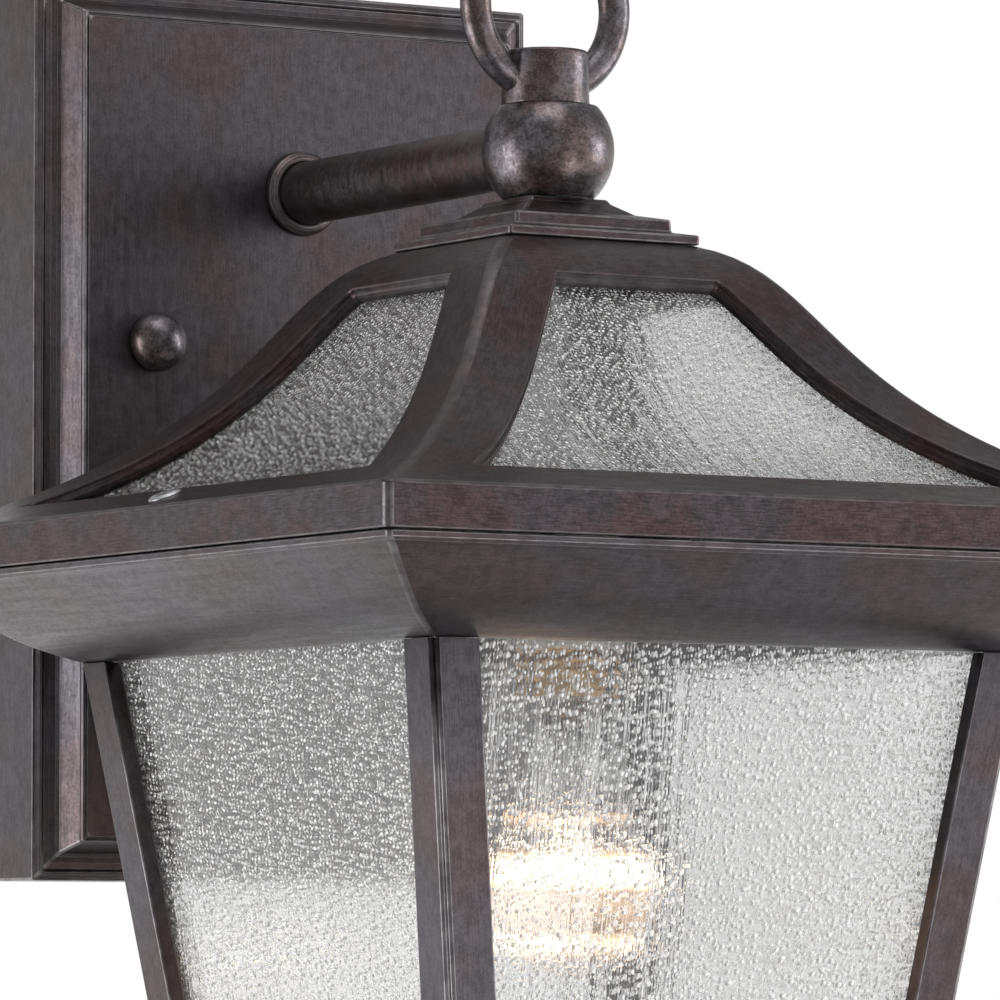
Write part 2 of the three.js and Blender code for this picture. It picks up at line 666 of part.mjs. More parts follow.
const HOLDER_DEPTH = 19.5;
const holderBody = turned([
  [0, HOLDER_DEPTH], [SHELL_RADIUS + GAP, HOLDER_DEPTH], [SHELL_RADIUS + GAP, HOLDER_LOW],
  [HOLDER_RADIUS - 1, HOLDER_LOW], [HOLDER_RADIUS, HOLDER_LOW + 1], [HOLDER_RADIUS, 22],
  [16, 26], [16, HOLDER_HIGH], [0, HOLDER_HIGH]], 24);
place('holder_body', holderBody, PORCELAIN, holder);
place('holder_shell', tube(SHELL_RADIUS, SHELL_RADIUS - 0.8, HOLDER_LOW + 1, 17, 24), BRASS,
  holder);
place('holder_contact', turned(
  [[0, 17.4], [3, 17.4], [4.5, 18.4], [4.5, 19.2], [0, 19.2]], 12), BRASS, holder);

// ---------------------------------------------------------------- bulb

const bulbCentre = BULB_TIP + BULB_RADIUS;
const NECK_END = -8;
const bulbNeck = BULB_BASE_RADIUS - 0.9;

// The glass from its tip up to the neck, shrunk by the wall for the inside.
function bulbOutline(shrink) {
  const round = Array.from({ length: 10 }, (_, i) => {
    const angle = -Math.PI / 2 + (i * 125 * Math.PI) / (180 * 9);
    return [(BULB_RADIUS - shrink) * Math.cos(angle),
      bulbCentre + (BULB_RADIUS - shrink) * Math.sin(angle)];
  });
  round[0][0] = 0;
  const neckCurve = new THREE.QuadraticBezierCurve(
    new THREE.Vector2(...round[9]), new THREE.Vector2(bulbNeck - shrink + 1.4, -31),
    new THREE.Vector2(bulbNeck - shrink, -14));
  const narrow = Array.from({ length: 4 }, (_, i) => {
    const at = neckCurve.getPoint((i + 1) / 4);
    return [at.x, at.y];
  });
  return [...round, ...narrow, [bulbNeck - shrink, NECK_END]];
}

const bulbGlass = turned([...bulbOutline(0), ...bulbOutline(BULB_WALL).reverse()], 24);
place('bulb_glass', bulbGlass, CLEAR, holder);

const bulbBase = turned([
  [0, 10.5], [BULB_BASE_RADIUS - 0.6, 10.5], [BULB_BASE_RADIUS - 0.6, -11.5],
  [BULB_BASE_RADIUS, -11.5], [BULB_BASE_RADIUS, 9.5], [10, 12.5], [5, 14], [4.5, 16.4],
  [0, 16.9]], 24);
place('bulb_base', bulbBase, BRASS, holder);

const stemLow = -46;
const bulbStem = turned([
  [0, stemLow], [2.4, stemLow], [3.2, -42], [3.6, -24], [6, -15], [10.8, -9], [10.8, -8],
  [0, -8]], 12);
place('bulb_stem', bulbStem, CLEAR, holder);

// Two lead wires and the filament they carry, as one thin loop.
const filamentPath = new THREE.CatmullRomCurve3([
  [-1.6, 0, stemLow - GAP], [-2, 0, -50], [-9, 0, -60], [-12.5, 0, -64.5], [-9, -4, -64],
  [-3, -6.4, -63.5], [3, -6.4, -63.5], [9, -4, -64], [12.5, 0, -64.5], [9, 0, -60],
  [2, 0, -50], [1.6, 0, stemLow - GAP]].map((at) => new THREE.Vector3(...at)));
place('bulb_filament', rodAlong(filamentPath, 0.45, 6, 36), TUNGSTEN, holder);

export default lamp;
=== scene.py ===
"""Outdoor wall lantern: its visual model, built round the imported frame.

Everything is drawn in millimetres, either on the lantern's own axis, with heights from the cage's
top edge, or on the wall, and then placed in the row frame from the boxes of the CAD nodes.
"""

import math

import bmesh
import bpy
import numpy as np
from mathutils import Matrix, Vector, noise

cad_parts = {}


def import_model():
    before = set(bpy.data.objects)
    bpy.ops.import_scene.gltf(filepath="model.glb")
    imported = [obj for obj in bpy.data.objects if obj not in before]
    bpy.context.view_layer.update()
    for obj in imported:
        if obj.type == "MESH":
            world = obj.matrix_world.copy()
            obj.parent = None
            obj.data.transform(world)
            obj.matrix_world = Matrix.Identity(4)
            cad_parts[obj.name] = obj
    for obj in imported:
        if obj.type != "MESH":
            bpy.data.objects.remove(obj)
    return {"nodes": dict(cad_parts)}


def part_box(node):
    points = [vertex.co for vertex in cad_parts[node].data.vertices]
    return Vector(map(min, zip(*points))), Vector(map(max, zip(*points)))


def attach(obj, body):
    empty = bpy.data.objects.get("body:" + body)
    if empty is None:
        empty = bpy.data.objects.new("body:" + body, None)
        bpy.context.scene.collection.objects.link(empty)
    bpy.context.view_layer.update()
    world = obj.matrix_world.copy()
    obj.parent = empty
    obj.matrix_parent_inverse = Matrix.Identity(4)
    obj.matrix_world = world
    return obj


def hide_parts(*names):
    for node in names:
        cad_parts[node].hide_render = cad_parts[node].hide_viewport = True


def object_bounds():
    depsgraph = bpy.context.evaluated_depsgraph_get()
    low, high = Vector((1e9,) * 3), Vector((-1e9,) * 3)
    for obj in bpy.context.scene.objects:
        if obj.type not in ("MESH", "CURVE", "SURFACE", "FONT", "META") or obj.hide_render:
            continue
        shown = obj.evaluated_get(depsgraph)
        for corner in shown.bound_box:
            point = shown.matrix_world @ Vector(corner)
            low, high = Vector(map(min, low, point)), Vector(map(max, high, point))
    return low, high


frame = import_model()
cad_box = [list(corner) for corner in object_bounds()]

MM = 0.001
TAU = 2 * math.pi

# ---------------- where things are


def middle(node):
    low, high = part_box(node)
    return (low + high) / 2


AXIS = middle("ring_neck")
CAGE_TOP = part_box("corner_post_front_left")[1].z + 0.6 * MM
PLATE = middle("wall_plate")
ARM = middle("arm_tube")
PANEL = -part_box("wall_plate")[0].y / MM
HOLDER = middle("holder_body")
HINGE = middle("hinge_pin")
LATCH = middle("thumb_screw")


def level(node, side):
    """Height of the foot (side 0) or the top (side 1) of a node, from the cage's top edge."""
    return (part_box(node)[side].z - CAGE_TOP) / MM


def upright(at_x, at_y, at_z):
    """Drawn upright, round a vertical axis at this place."""

    def place(x, y, z):
        return (at_x + x * MM, at_y + y * MM, at_z + z * MM)

    return place


def on_wall(centre):
    """Drawn lying flat, with +Z for out of the wall."""

    def place(x, y, z):
        return (centre.x + x * MM, -z * MM, centre.z + y * MM)

    return place


on_axis = upright(AXIS.x, AXIS.y, CAGE_TOP)
on_holder = upright(HOLDER.x, HOLDER.y, CAGE_TOP)


def in_scene(name, data):
    obj = bpy.data.objects.new(name, data)
    bpy.context.scene.collection.objects.link(obj)
    return obj


# ---------------- camera

CAMERA_AT = Vector((-1.10065, -1.91168, -0.18926))
CAMERA_AZIMUTH = math.radians(31.96)
CAMERA_PITCH = math.radians(3.783)
FOCAL_PIXELS = 7227.6

camera_data = bpy.data.cameras.new("camera")
camera_data.sensor_width = 36.0
camera_data.lens = FOCAL_PIXELS * 36.0 / 1000
camera_data.clip_start, camera_data.clip_end = 0.05, 50
camera = in_scene("camera", camera_data)
camera.location = CAMERA_AT
camera.rotation_euler = (math.pi / 2 + CAMERA_PITCH, math.radians(0.04), -CAMERA_AZIMUTH)
bpy.context.scene.camera = camera

# ---------------- shapes


class Shape:
    """Points in millimetres, faces, and for each face corner how far across and along the grain
    it lies, with 1 in the third place on an edge that is rounded over."""

    def __init__(self):
        self.points, self.faces, self.grain = [], [], []

    def point(self, x, y, z):
        self.points.append((x, y, z))
        return len(self.points) - 1

    def circle(self, radius, z, steps):
        return [self.point(radius * math.cos(a), radius * math.sin(a), z)
                for a in (TAU * k / steps for k in range(steps))]

    def face(self, corners, grain):
        kept = [i for i in range(len(corners)) if corners[i] != corners[i - 1]]
        if len(kept) > 2:
            self.faces.append([corners[i] for i in kept])
            self.grain.append([grain[i] for i in kept])

    def skin(self, rings, grain, edge=lambda j, k: 0):
        """Faces between closed rings of points. grain(j, k, down, over) gives how far across and
        along the grain face k after ring j is at its four corners: down and over are 0 or 1."""
        for j, (ring, below) in enumerate(zip(rings, rings[1:])):
            for k in range(len(ring)):
                n, mark = (k + 1) % len(ring), edge(j, k)
                self.face([ring[k], ring[n], below[n], below[k]],
                          [(*grain(j, k, down, over), mark)
                           for down, over in ((0, 0), (0, 1), (1, 1), (1, 0))])

    def join(self, other, move=lambda x, y, z: (x, y, z)):
        start = len(self.points)
        self.points += [move(*p) for p in other.points]
        self.faces += [[start + i for i in f] for f in other.faces]
        self.grain += other.grain
        return self


def soften(path, radius, steps=3, closed=False):
    """The path with its corners rounded. A third number marks the points of a rounded corner."""
    out = []
    for i, here in enumerate(path):
        b = np.array(here[:2], float)
        if not closed and i in (0, len(path) - 1):
            out.append((b[0], b[1], 0))
            continue
        u = np.array(path[i - 1][:2], float) - b
        v = np.array(path[(i + 1) % len(path)][:2], float) - b
        lu, lv = np.linalg.norm(u), np.linalg.norm(v)
        turn = math.pi - math.acos(max(-1, min(1, float(u @ v) / (lu * lv))))
        if turn < math.radians(15):
            out.append((b[0], b[1], 0))
            continue
        reach = min(radius * math.tan(turn / 2), 0.42 * lu, 0.42 * lv)
        p, q = b + u / lu * reach, b + v / lv * reach
        for k in range(steps + 1):
            t = k / steps
            at = (1 - t) ** 2 * p + 2 * t * (1 - t) * b + t * t * q
            out.append((at[0], at[1], int(k < steps)))
    return out


def spread(start, reach, steps):
    return [start + reach * k / steps for k in range(steps + 1)]


def lengths(path):
    """How far along the path each of its points lies."""
    total, out = 0.0, [0.0]
    for a, b in zip(path, path[1:]):
        total += math.dist(a[:2], b[:2])
        out.append(total)
    return out


def turned(path, steps=72, closed=False):
    """Turns a (radius, height) path about Z."""
    shape = Shape()
    path = list(path) + ([path[0]] if closed else [])
    across = lengths(path)
    rings = []
    for j, (r, z, _) in enumerate(path):
        if closed and j == len(path) - 1:
            rings.append(rings[0])
        elif r < 1e-6:
            rings.append([shape.point(0, 0, z)] * steps)
        else:
            rings.append(shape.circle(r, z, steps))
    around = [max(a[0], b[0]) * TAU / steps for a, b in zip(path, path[1:])]
    shape.skin(rings, lambda j, k, down, over: (across[j + down], (k + over) * around[j]),
               lambda j, k: path[j][2])
    return shape


def framed(path, wide=0.0, tall=0.0, corner=0.8, bend=3, closed=False):
    """Carries a path of (half width, height) round a rectangle with mitred corners. wide and
    tall are added to the half width in X and in Y. An open path is capped at both ends."""
    shape = Shape()
    across = lengths(list(path) + [path[0]])
    rings, spots = [], []
    for half, z, _ in path:
        hx, hy = half + wide, half + tall
        r = min(corner, 0.9 * hx, 0.9 * hy)
        ring, spot = [], []
        for q in range(4):
            sx, sy = ((1, 1), (-1, 1), (-1, -1), (1, -1))[q]
            for k in range(bend + 1):
                a = (q + k / bend) * math.pi / 2
                x, y = sx * (hx - r) + r * math.cos(a), sy * (hy - r) + r * math.sin(a)
                ring.append(shape.point(x, y, z))
                spot.append((x, y))
        rings.append(ring)
        spots.append(spot)
    ends = [] if closed else [(rings[0], spots[0]), (rings[-1], spots[-1])]
    if closed:
        rings.append(rings[0])
        spots.append(spots[0])

    def grain(j, k, down, over):
        spot = spots[j + down][(k + over) % len(rings[0])]
        return across[j + down], spot[k // (bend + 1) % 2]

    shape.skin(rings, grain, lambda j, k: max(path[j][2], int(k % (bend + 1) != bend)))
    for ring, spot in ends:
        shape.face(list(ring), [(x, y, 0) for x, y in spot])
    return shape


def extruded(section, low, high, lean=(0.0, 0.0), steps=1):
    """A closed section drawn up from one height to another, leaning by so much a millimetre."""
    shape = Shape()
    across = lengths(list(section) + [section[0]])
    heights = spread(low, high - low, steps)
    rings = [[shape.point(x + lean[0] * z, y + lean[1] * z, z) for x, y, _ in section]
             for z in heights]
    shape.skin(rings, lambda j, k, down, over: (across[k + over], heights[j + down]),
               lambda j, k: section[k][2])
    for ring in (rings[0], rings[-1]):
        shape.face(list(ring), [(x, y, 0) for x, y, _ in section])
    return shape


def wire(line, radius, sides=12, blunt=True):
    """A round rod along a line of 3-D points, with its ends rounded over."""
    shape = Shape()
    line = [np.array(p, float) for p in line]
    radii = [radius] * len(line)
    if blunt:
        ahead = line[0] - line[1]
        behind = line[-1] - line[-2]
        ahead, behind = ahead / np.linalg.norm(ahead), behind / np.linalg.norm(behind)
        line = [line[0] + ahead * radius * 0.6] + line + [line[-1] + behind * radius * 0.6]
        radii = [radius * 0.55] + radii + [radius * 0.55]
    tangents = []
    for i in range(len(line)):
        t = line[min(i + 1, len(line) - 1)] - line[max(i - 1, 0)]
        tangents.append(t / np.linalg.norm(t))
    up = np.array([0, 0, 1.0]) if abs(tangents[0][2]) < 0.9 else np.array([1.0, 0, 0])
    rings, along = [], [0.0]
    for i, (at, t) in enumerate(zip(line, tangents)):
        up = up - t * float(up @ t)
        up /= np.linalg.norm(up)
        side = np.cross(t, up)
        rings.append([shape.point(*(at + radii[i] * (math.cos(a) * up + math.sin(a) * side)))
                      for a in (TAU * k / sides for k in range(sides))])
        if i:
            along.append(along[-1] + float(np.linalg.norm(line[i] - line[i - 1])))
    step = TAU * radius / sides
    shape.skin(rings, lambda j, k, down, over: ((k + over) * step, along[j + down]))
    for ring in (rings[0], rings[-1]):
        shape.face(list(ring), [(0, 0, 0)] * sides)
    return shape


def bezier(points, steps):
    out = []
    for i in range(steps + 1):
        t, row = i / steps, [np.array(p, float) for p in points]
        while len(row) > 1:
            row = [(1 - t) * a + t * b for a, b in zip(row, row[1:])]
        out.append((float(row[0][0]), float(row[0][1]), 0))
    return out


def plain(points):
    return [(x, y, 0) for x, y in points]


def piece(name, shape, place, material, nodes, body="fixture", bevels=None,
          wear_and_sheen=None, flat=False):
    """Makes a mesh of the shape, in the row frame, that stands for the named CAD nodes.
    bevels is a list of (test of the edge's two ends, width) for edges still to be rounded, and the
    last argument gives how much lighter such an edge is coloured at a place, as worn paint and as a
    painted highlight."""
    mesh = bpy.data.meshes.new(name)
    mesh.from_pydata([place(*p) for p in shape.points], [], shape.faces)
    grain = mesh.attributes.new("grain", "FLOAT_VECTOR", "CORNER")
    grain.data.foreach_set("vector", np.array(
        [(a * MM, b * MM, c) for f in shape.grain for a, b, c in f], np.float32).ravel())
    obj = in_scene(name, mesh)
    set_outward(mesh)
    if bevels:
        round_edges(obj, shape, bevels, wear_and_sheen)
    mesh = obj.data
    mesh.shade_smooth()
    mesh.materials.clear()
    mesh.materials.append(material)
    if not flat:
        weighted = obj.modifiers.new("normals", "WEIGHTED_NORMAL")
        weighted.keep_sharp = True
        weighted.weight = 60
    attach(obj, body)
    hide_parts(*nodes)


def set_outward(mesh):
    """Turns all the normals outward."""
    bm = bmesh.new()
    bm.from_mesh(mesh)
    bmesh.ops.recalc_face_normals(bm, faces=bm.faces)
    bm.to_mesh(mesh)
    bm.free()


def round_edges(obj, shape, bevels, wear_and_sheen):
    """Rounds the chosen edges, and marks in the grain how much lighter they are coloured: worn paint
    and painted highlight.
    """
    mesh = obj.data
    widest = max(width for _, width in bevels)
    weights = mesh.attributes.new("bevel_weight_edge", "FLOAT", "EDGE")
    for edge in mesh.edges:
        a, b = (shape.points[i] for i in edge.vertices)
        for test, width in bevels:
            if test(a, b):
                weights.data[edge.index].value = width / widest
                break
    bevel = obj.modifiers.new("bevel", "BEVEL")
    bevel.limit_method = "WEIGHT"
    bevel.width = widest * MM
    bevel.segments = 4
    bevel.material = 1
    mesh.materials.append(None)
    mesh.materials.append(None)
    evaluated = obj.evaluated_get(bpy.context.evaluated_depsgraph_get())
    rounded = bpy.data.meshes.new_from_object(evaluated)
    obj.modifiers.clear()
    old, obj.data = obj.data, rounded
    bpy.data.meshes.remove(old)
    rounded.name = obj.name
    grain = rounded.attributes["grain"].data
    # Bevel faces take the lighter edge colour: partly worn paint, partly a painted highlight.
    for polygon in rounded.polygons:
        if polygon.material_index == 1:
            edge_wear_and_sheen = wear_and_sheen(polygon.center)
            for loop in polygon.loop_indices:
                v = grain[loop].vector
                grain[loop].vector = (v[0], v[1], edge_wear_and_sheen)
            polygon.material_index = 0


# ---------------- materials


class Tree:
    """A material's nodes: each call adds one, with its properties, and links or sets inputs."""

    def __init__(self, name):
        self.material = bpy.data.materials.new(name)
        self.material.use_nodes = True
        self.tree = self.material.node_tree
        self.tree.nodes.clear()

    def add(self, kind, inputs=None, **properties):
        node = self.tree.nodes.new(kind)
        for key, value in properties.items():
            setattr(node, key, value)
        for key, value in (inputs or {}).items():
            if isinstance(value, bpy.types.NodeSocket):
                self.tree.links.new(value, node.inputs[key])
            else:
                node.inputs[key].default_value = value
        return node

    def math(self, operation, a, b=0.0, clamp=False):
        return self.add("ShaderNodeMath", {0: a, 1: b}, operation=operation,
                        use_clamp=clamp).outputs[0]

    def plus(self, a, b):
        return self.math("ADD", a, b)

    def times(self, a, b):
        return self.math("MULTIPLY", a, b)

    def scaled(self, vector, by):
        return self.add("ShaderNodeVectorMath", {0: vector, 1: by},
                        operation="MULTIPLY").outputs[0]

    def noise(self, vector, scale, detail=3.0, rough=0.55):
        return self.add("ShaderNodeTexNoise", {
            "Vector": vector, "Scale": scale, "Detail": detail, "Roughness": rough}).outputs[0]

    def ramp(self, value, low, high, to_low=0.0, to_high=1.0):
        return self.add("ShaderNodeMapRange", {
            0: value, 1: low, 2: high, 3: to_low, 4: to_high},
            interpolation_type="SMOOTHSTEP").outputs[0]

    def mix(self, share, a, b, blend="MIX"):
        return self.add("ShaderNodeMix", {0: share, 6: a, 7: b}, data_type="RGBA",
                        blend_type=blend).outputs[2]

    def bump(self, strength, distance, height):
        return self.add("ShaderNodeBump", {
            "Strength": strength, "Distance": distance, "Height": height}).outputs[0]

    def height(self):
        return self.add("ShaderNodeSeparateXYZ", {0: self.place()}).outputs[2]

    def principled(self, inputs):
        """Ends the material with this shader."""
        shader = self.add("ShaderNodeBsdfPrincipled", inputs)
        self.add("ShaderNodeOutputMaterial", {0: shader.outputs[0]})
        return self.material

    def place(self):
        return self.add("ShaderNodeTexCoord").outputs["Object"]

    def grain(self):
        return self.add("ShaderNodeAttribute", attribute_name="grain").outputs["Vector"]


WHITE = (1, 1, 1, 1)
# The second colour goes on rounded edges: partly worn, thinner paint and partly a painted highlight.
BRUSH_SHADE, WORN_EDGE_AND_SHEEN = (0.45, 0.43, 0.43, 1), (0.235, 0.215, 0.225, 1)


def bronze(name, cool, warm, patches, patch_size, streak, brushed, mottle, smooth=0.34,
           dull=0.47):
    """Dark bronze paint over metal: patches of warmer brown, mottling, fine grain along the piece,
    and a lighter colour on rounded edges, which is partly thinner paint and partly a painted
    highlight. patches, brushed and mottle are shares, patch_size and streak are scales per metre,
    smooth and dull are the limits of roughness."""
    tree = Tree(name)
    place, grain = tree.place(), tree.grain()
    fine = tree.noise(tree.scaled(grain, (2100, streak, 0)), 1.0, 3.0, 0.6)
    coarse = tree.noise(tree.scaled(grain, (520, streak * 0.35, 0)), 1.0, 2.0)
    blotch = tree.noise(place, patch_size, 4.0, 0.6)
    share = tree.math("MULTIPLY", tree.ramp(blotch, 0.38, 0.62), patches, True)
    cloud = tree.plus(tree.times(tree.noise(place, 260, 5.0, 0.62), 0.55),
                      tree.times(tree.noise(place, 1300, 3.0, 0.6), 0.45))
    tone = tree.ramp(cloud, 0.40, 0.60, 1 - mottle, 1 + mottle)
    grey = tree.add("ShaderNodeCombineXYZ", {0: tone, 1: tone, 2: tone}).outputs[0]
    colour = tree.scaled(tree.mix(share, cool, warm), grey)
    lines = tree.mix(tree.ramp(fine, 0.30, 0.62), BRUSH_SHADE, WHITE)
    colour = tree.mix(brushed, colour, lines, "MULTIPLY")
    # The lighter colour on rounded edges is partly worn paint and partly a painted highlight.
    edge = tree.add("ShaderNodeSeparateXYZ", {0: grain}).outputs[2]
    edge_wear_and_sheen = tree.times(edge, tree.ramp(tree.noise(place, 160, 3.0), 0.35, 0.65, 0.35, 0.95))
    speck = tree.noise(place, 900, 2.0, 0.5)
    rough = tree.plus(tree.ramp(coarse, 0.3, 0.7, smooth, dull),
                      tree.ramp(speck, 0.4, 0.7, -0.03, 0.06))
    relief = tree.plus(tree.times(fine, brushed), tree.times(tree.noise(place, 420, 3.0), 0.55))
    return tree.principled({
        "Base Color": tree.mix(edge_wear_and_sheen, colour, WORN_EDGE_AND_SHEEN), "Metallic": 0.86, "Roughness": rough,
        "Normal": tree.bump(0.45, 0.00005, relief), "Coat Weight": 0.12, "Coat Roughness": 0.3})


def metal(name, base, darker, rough):
    """Bare metal, fine-turned, a little stained."""
    tree = Tree(name)
    place = tree.place()
    stain = tree.noise(place, 130, 4.0, 0.6)
    fine = tree.noise(tree.scaled(place, (1, 1, 6)), 700, 2.0)
    colour = tree.mix(tree.ramp(stain, 0.4, 0.7), base, darker)
    return tree.principled({
        "Base Color": colour, "Metallic": 1.0,
        "Roughness": tree.ramp(fine, 0.3, 0.7, rough - 0.06, rough + 0.1),
        "Normal": tree.bump(0.4, 0.00004, fine)})


STREAK_HEIGHT, PEBBLE_HEIGHT, WAVE_HEIGHT = 0.62, 0.10, 1.0
HAZE, SEED_SCATTER = (0.0, 0.03), 0.92
SEED_KINDS = (
    # cells per metre, stretch along the sheet, full and zero height, share left out, height
    (440, 1.12, 0.12, 0.27, 0.18, 0.30),
    (800, 1.00, 0.12, 0.30, 0.35, 0.16),
    (560, 0.26, 0.04, 0.15, 0.50, 0.16),
)


def seeded_glass(name):
    """Clear glass full of small bubbles drawn out along the sheet, with fine streaks. A bubble
    bends the light sharply and scatters some of it."""
    tree = Tree(name)
    grain = tree.grain()
    flat = tree.scaled(grain, (1, 1, 0))
    wander = tree.add("ShaderNodeTexNoise", {"Vector": flat, "Scale": 240.0, "Detail": 2.0})
    drift = tree.scaled(wander.outputs["Color"], (0.7, 0.7, 0))
    relief, marks = 0.0, 0.0
    for size, stretch, core, rim, left_out, tall in SEED_KINDS:
        moved = tree.add("ShaderNodeVectorMath", {
            0: tree.scaled(grain, (size, size * stretch, 0)), 1: drift}, operation="ADD")
        cells = tree.add("ShaderNodeTexVoronoi", {
            "Vector": moved.outputs[0], "Scale": 1.0, "Randomness": 1.0},
            voronoi_dimensions="2D", feature="F1")
        lot = tree.add("ShaderNodeSeparateColor", {0: cells.outputs["Color"]})
        chosen = tree.ramp(lot.outputs[0], left_out, left_out + 0.12)
        dome = tree.times(tree.ramp(cells.outputs["Distance"], core, rim, 1.0, 0.0), chosen)
        relief = tree.plus(tree.times(dome, tall), relief)
        shine = tree.ramp(lot.outputs[1], 0.1, 0.9, 0.45, 1.0)
        marks = tree.math("MAXIMUM", tree.times(dome, shine), marks)
    streaks = tree.noise(tree.scaled(grain, (560, 34, 0)), 1.0, 2.0, 0.5)
    pebble = tree.noise(tree.scaled(grain, (640, 600, 0)), 1.0, 2.0, 0.55)
    waves = tree.noise(tree.scaled(grain, (210, 15, 0)), 1.0, 2.0)
    for layer, tall in ((streaks, STREAK_HEIGHT), (pebble, PEBBLE_HEIGHT), (waves, WAVE_HEIGHT)):
        relief = tree.plus(relief, tree.times(layer, tall))
    haze = tree.plus(tree.ramp(pebble, 0.35, 0.70, *HAZE), tree.ramp(streaks, 0.55, 0.75, 0.0, 0.06))
    scatter = tree.plus(tree.times(marks, SEED_SCATTER), haze)
    return tree.principled({
        "Base Color": tree.mix(marks, (0.93, 0.935, 0.935, 1), (0.97, 0.97, 0.96, 1)),
        "Roughness": 0.03, "IOR": 1.5, "Normal": tree.bump(1.0, 0.00021, relief),
        "Transmission Weight": tree.math("SUBTRACT", 0.99, scatter, True)})


# Bands of painted glow on the bulb's glass, round the filament.
GLOW_BANDS = (
    # height from the filament, reach up and down, strength
    (0.0, 0.0095, 1.0), (-0.0205, 0.0065, 0.70), (0.0150, 0.0035, 0.5), (-0.0100, 0.0230, 0.36))
GLOW_STRENGTH = 1.6


def clear_glass(name, glow=None):
    """Thin clear glass. Round the height glow it carries a painted glow, emission that stands for
    the filament's light in the glass.
    """
    tree = Tree(name)
    place = tree.place()
    ripple = tree.noise(place, 90, 2.0)
    inputs = {"Base Color": tree.mix(ripple, (0.97, 0.97, 0.96, 1), (0.99, 0.99, 0.99, 1)),
              "Roughness": 0.02, "IOR": 1.46, "Transmission Weight": 1.0,
              "Normal": tree.bump(0.06, 0.0002, ripple)}
    if glow is not None:
        # Painted glow: emission in bands round the filament's height, broken up by noise.
        height, near = tree.height(), 0.0
        for step, reach, share in GLOW_BANDS:
            off = tree.math("ABSOLUTE", tree.math("SUBTRACT", height, glow + step))
            near = tree.math("MAXIMUM", tree.ramp(off, 0.0005, reach, share, 0.0), near)
        near = tree.times(near, tree.ramp(tree.noise(place, 95, 3.0, 0.6), 0.35, 0.65, 0.6, 1.0))
        inputs["Emission Color"] = tree.mix(near, (1.0, 0.55, 0.28, 1), (1.0, 0.74, 0.48, 1))
        inputs["Emission Strength"] = tree.times(tree.times(near, near), GLOW_STRENGTH)
    return tree.principled(inputs)


def porcelain(name):
    tree = Tree(name)
    place = tree.place()
    cloud = tree.noise(place, 70, 3.0)
    return tree.principled({
        "Base Color": tree.mix(cloud, (0.80, 0.77, 0.70, 1), (0.72, 0.68, 0.60, 1)),
        "Roughness": tree.ramp(cloud, 0.3, 0.7, 0.22, 0.36),
        "Normal": tree.bump(0.2, 0.0001, tree.noise(place, 300, 2.0)),
        "Coat Weight": 0.4, "Coat Roughness": 0.08})


def glowing(name):
    tree = Tree(name)
    hot = tree.noise(tree.place(), 400, 1.0)
    return tree.principled({
        "Base Color": tree.mix(hot, (0.5, 0.4, 0.3, 1), (0.6, 0.5, 0.4, 1)), "Roughness": 0.6,
        "Emission Color": tree.mix(hot, (1.0, 0.62, 0.28, 1), (1.0, 0.8, 0.5, 1)),
        "Emission Strength": 130.0})


COOL, WARM = (0.083, 0.076, 0.087, 1), (0.084, 0.060, 0.060, 1)
BRUSHED = bronze("bronze_brushed", COOL, WARM, patches=0.85, patch_size=22, streak=110,
                 brushed=0.5, mottle=0.20, smooth=0.32, dull=0.43)
CAST = bronze("bronze_cast", (0.069, 0.057, 0.064, 1), (0.078, 0.047, 0.048, 1), patches=1.0,
              patch_size=40, streak=150, brushed=0.85, mottle=0.25, smooth=0.31, dull=0.43)
TURNED = bronze("bronze_turned", (0.142, 0.126, 0.141, 1), (0.114, 0.085, 0.080, 1), patches=1.0,
                patch_size=70, streak=420, brushed=0.5, mottle=0.42, smooth=0.29, dull=0.40)
SMOOTH = bronze("bronze_smooth", (0.112, 0.094, 0.099, 1), (0.092, 0.061, 0.056, 1), patches=1.0,
                patch_size=60, streak=300, brushed=0.5, mottle=0.2)
STEEL = metal("zinc_steel", (0.60, 0.61, 0.62, 1), (0.42, 0.42, 0.43, 1), rough=0.32)
BRASS = metal("lamp_brass", (0.78, 0.50, 0.22, 1), (0.60, 0.33, 0.13, 1), rough=0.28)
GREEN = metal("green_screw", (0.05, 0.22, 0.08, 1), (0.03, 0.14, 0.05, 1), rough=0.4)
PORCELAIN = porcelain("porcelain")
SEEDED = seeded_glass("seeded_glass")
FILAMENT = -61.0
CLEAR = clear_glass("clear_glass")
# The bulb's glass, with a painted glow round the filament's height.
PAINTED_GLOW_GLASS = clear_glass("painted_glow_glass", CAGE_TOP + FILAMENT * MM)
TUNGSTEN = glowing("tungsten")

# ---------------- wall plate

PLATE_LOW, PLATE_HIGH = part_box("wall_plate")
PLATE_HALF = ((PLATE_HIGH.x - PLATE_LOW.x) / 2 / MM, (PLATE_HIGH.z - PLATE_LOW.z) / 2 / MM)
LIP, PLATE_WALL, PANEL_INSET = 25.0, 2.5, 13.4


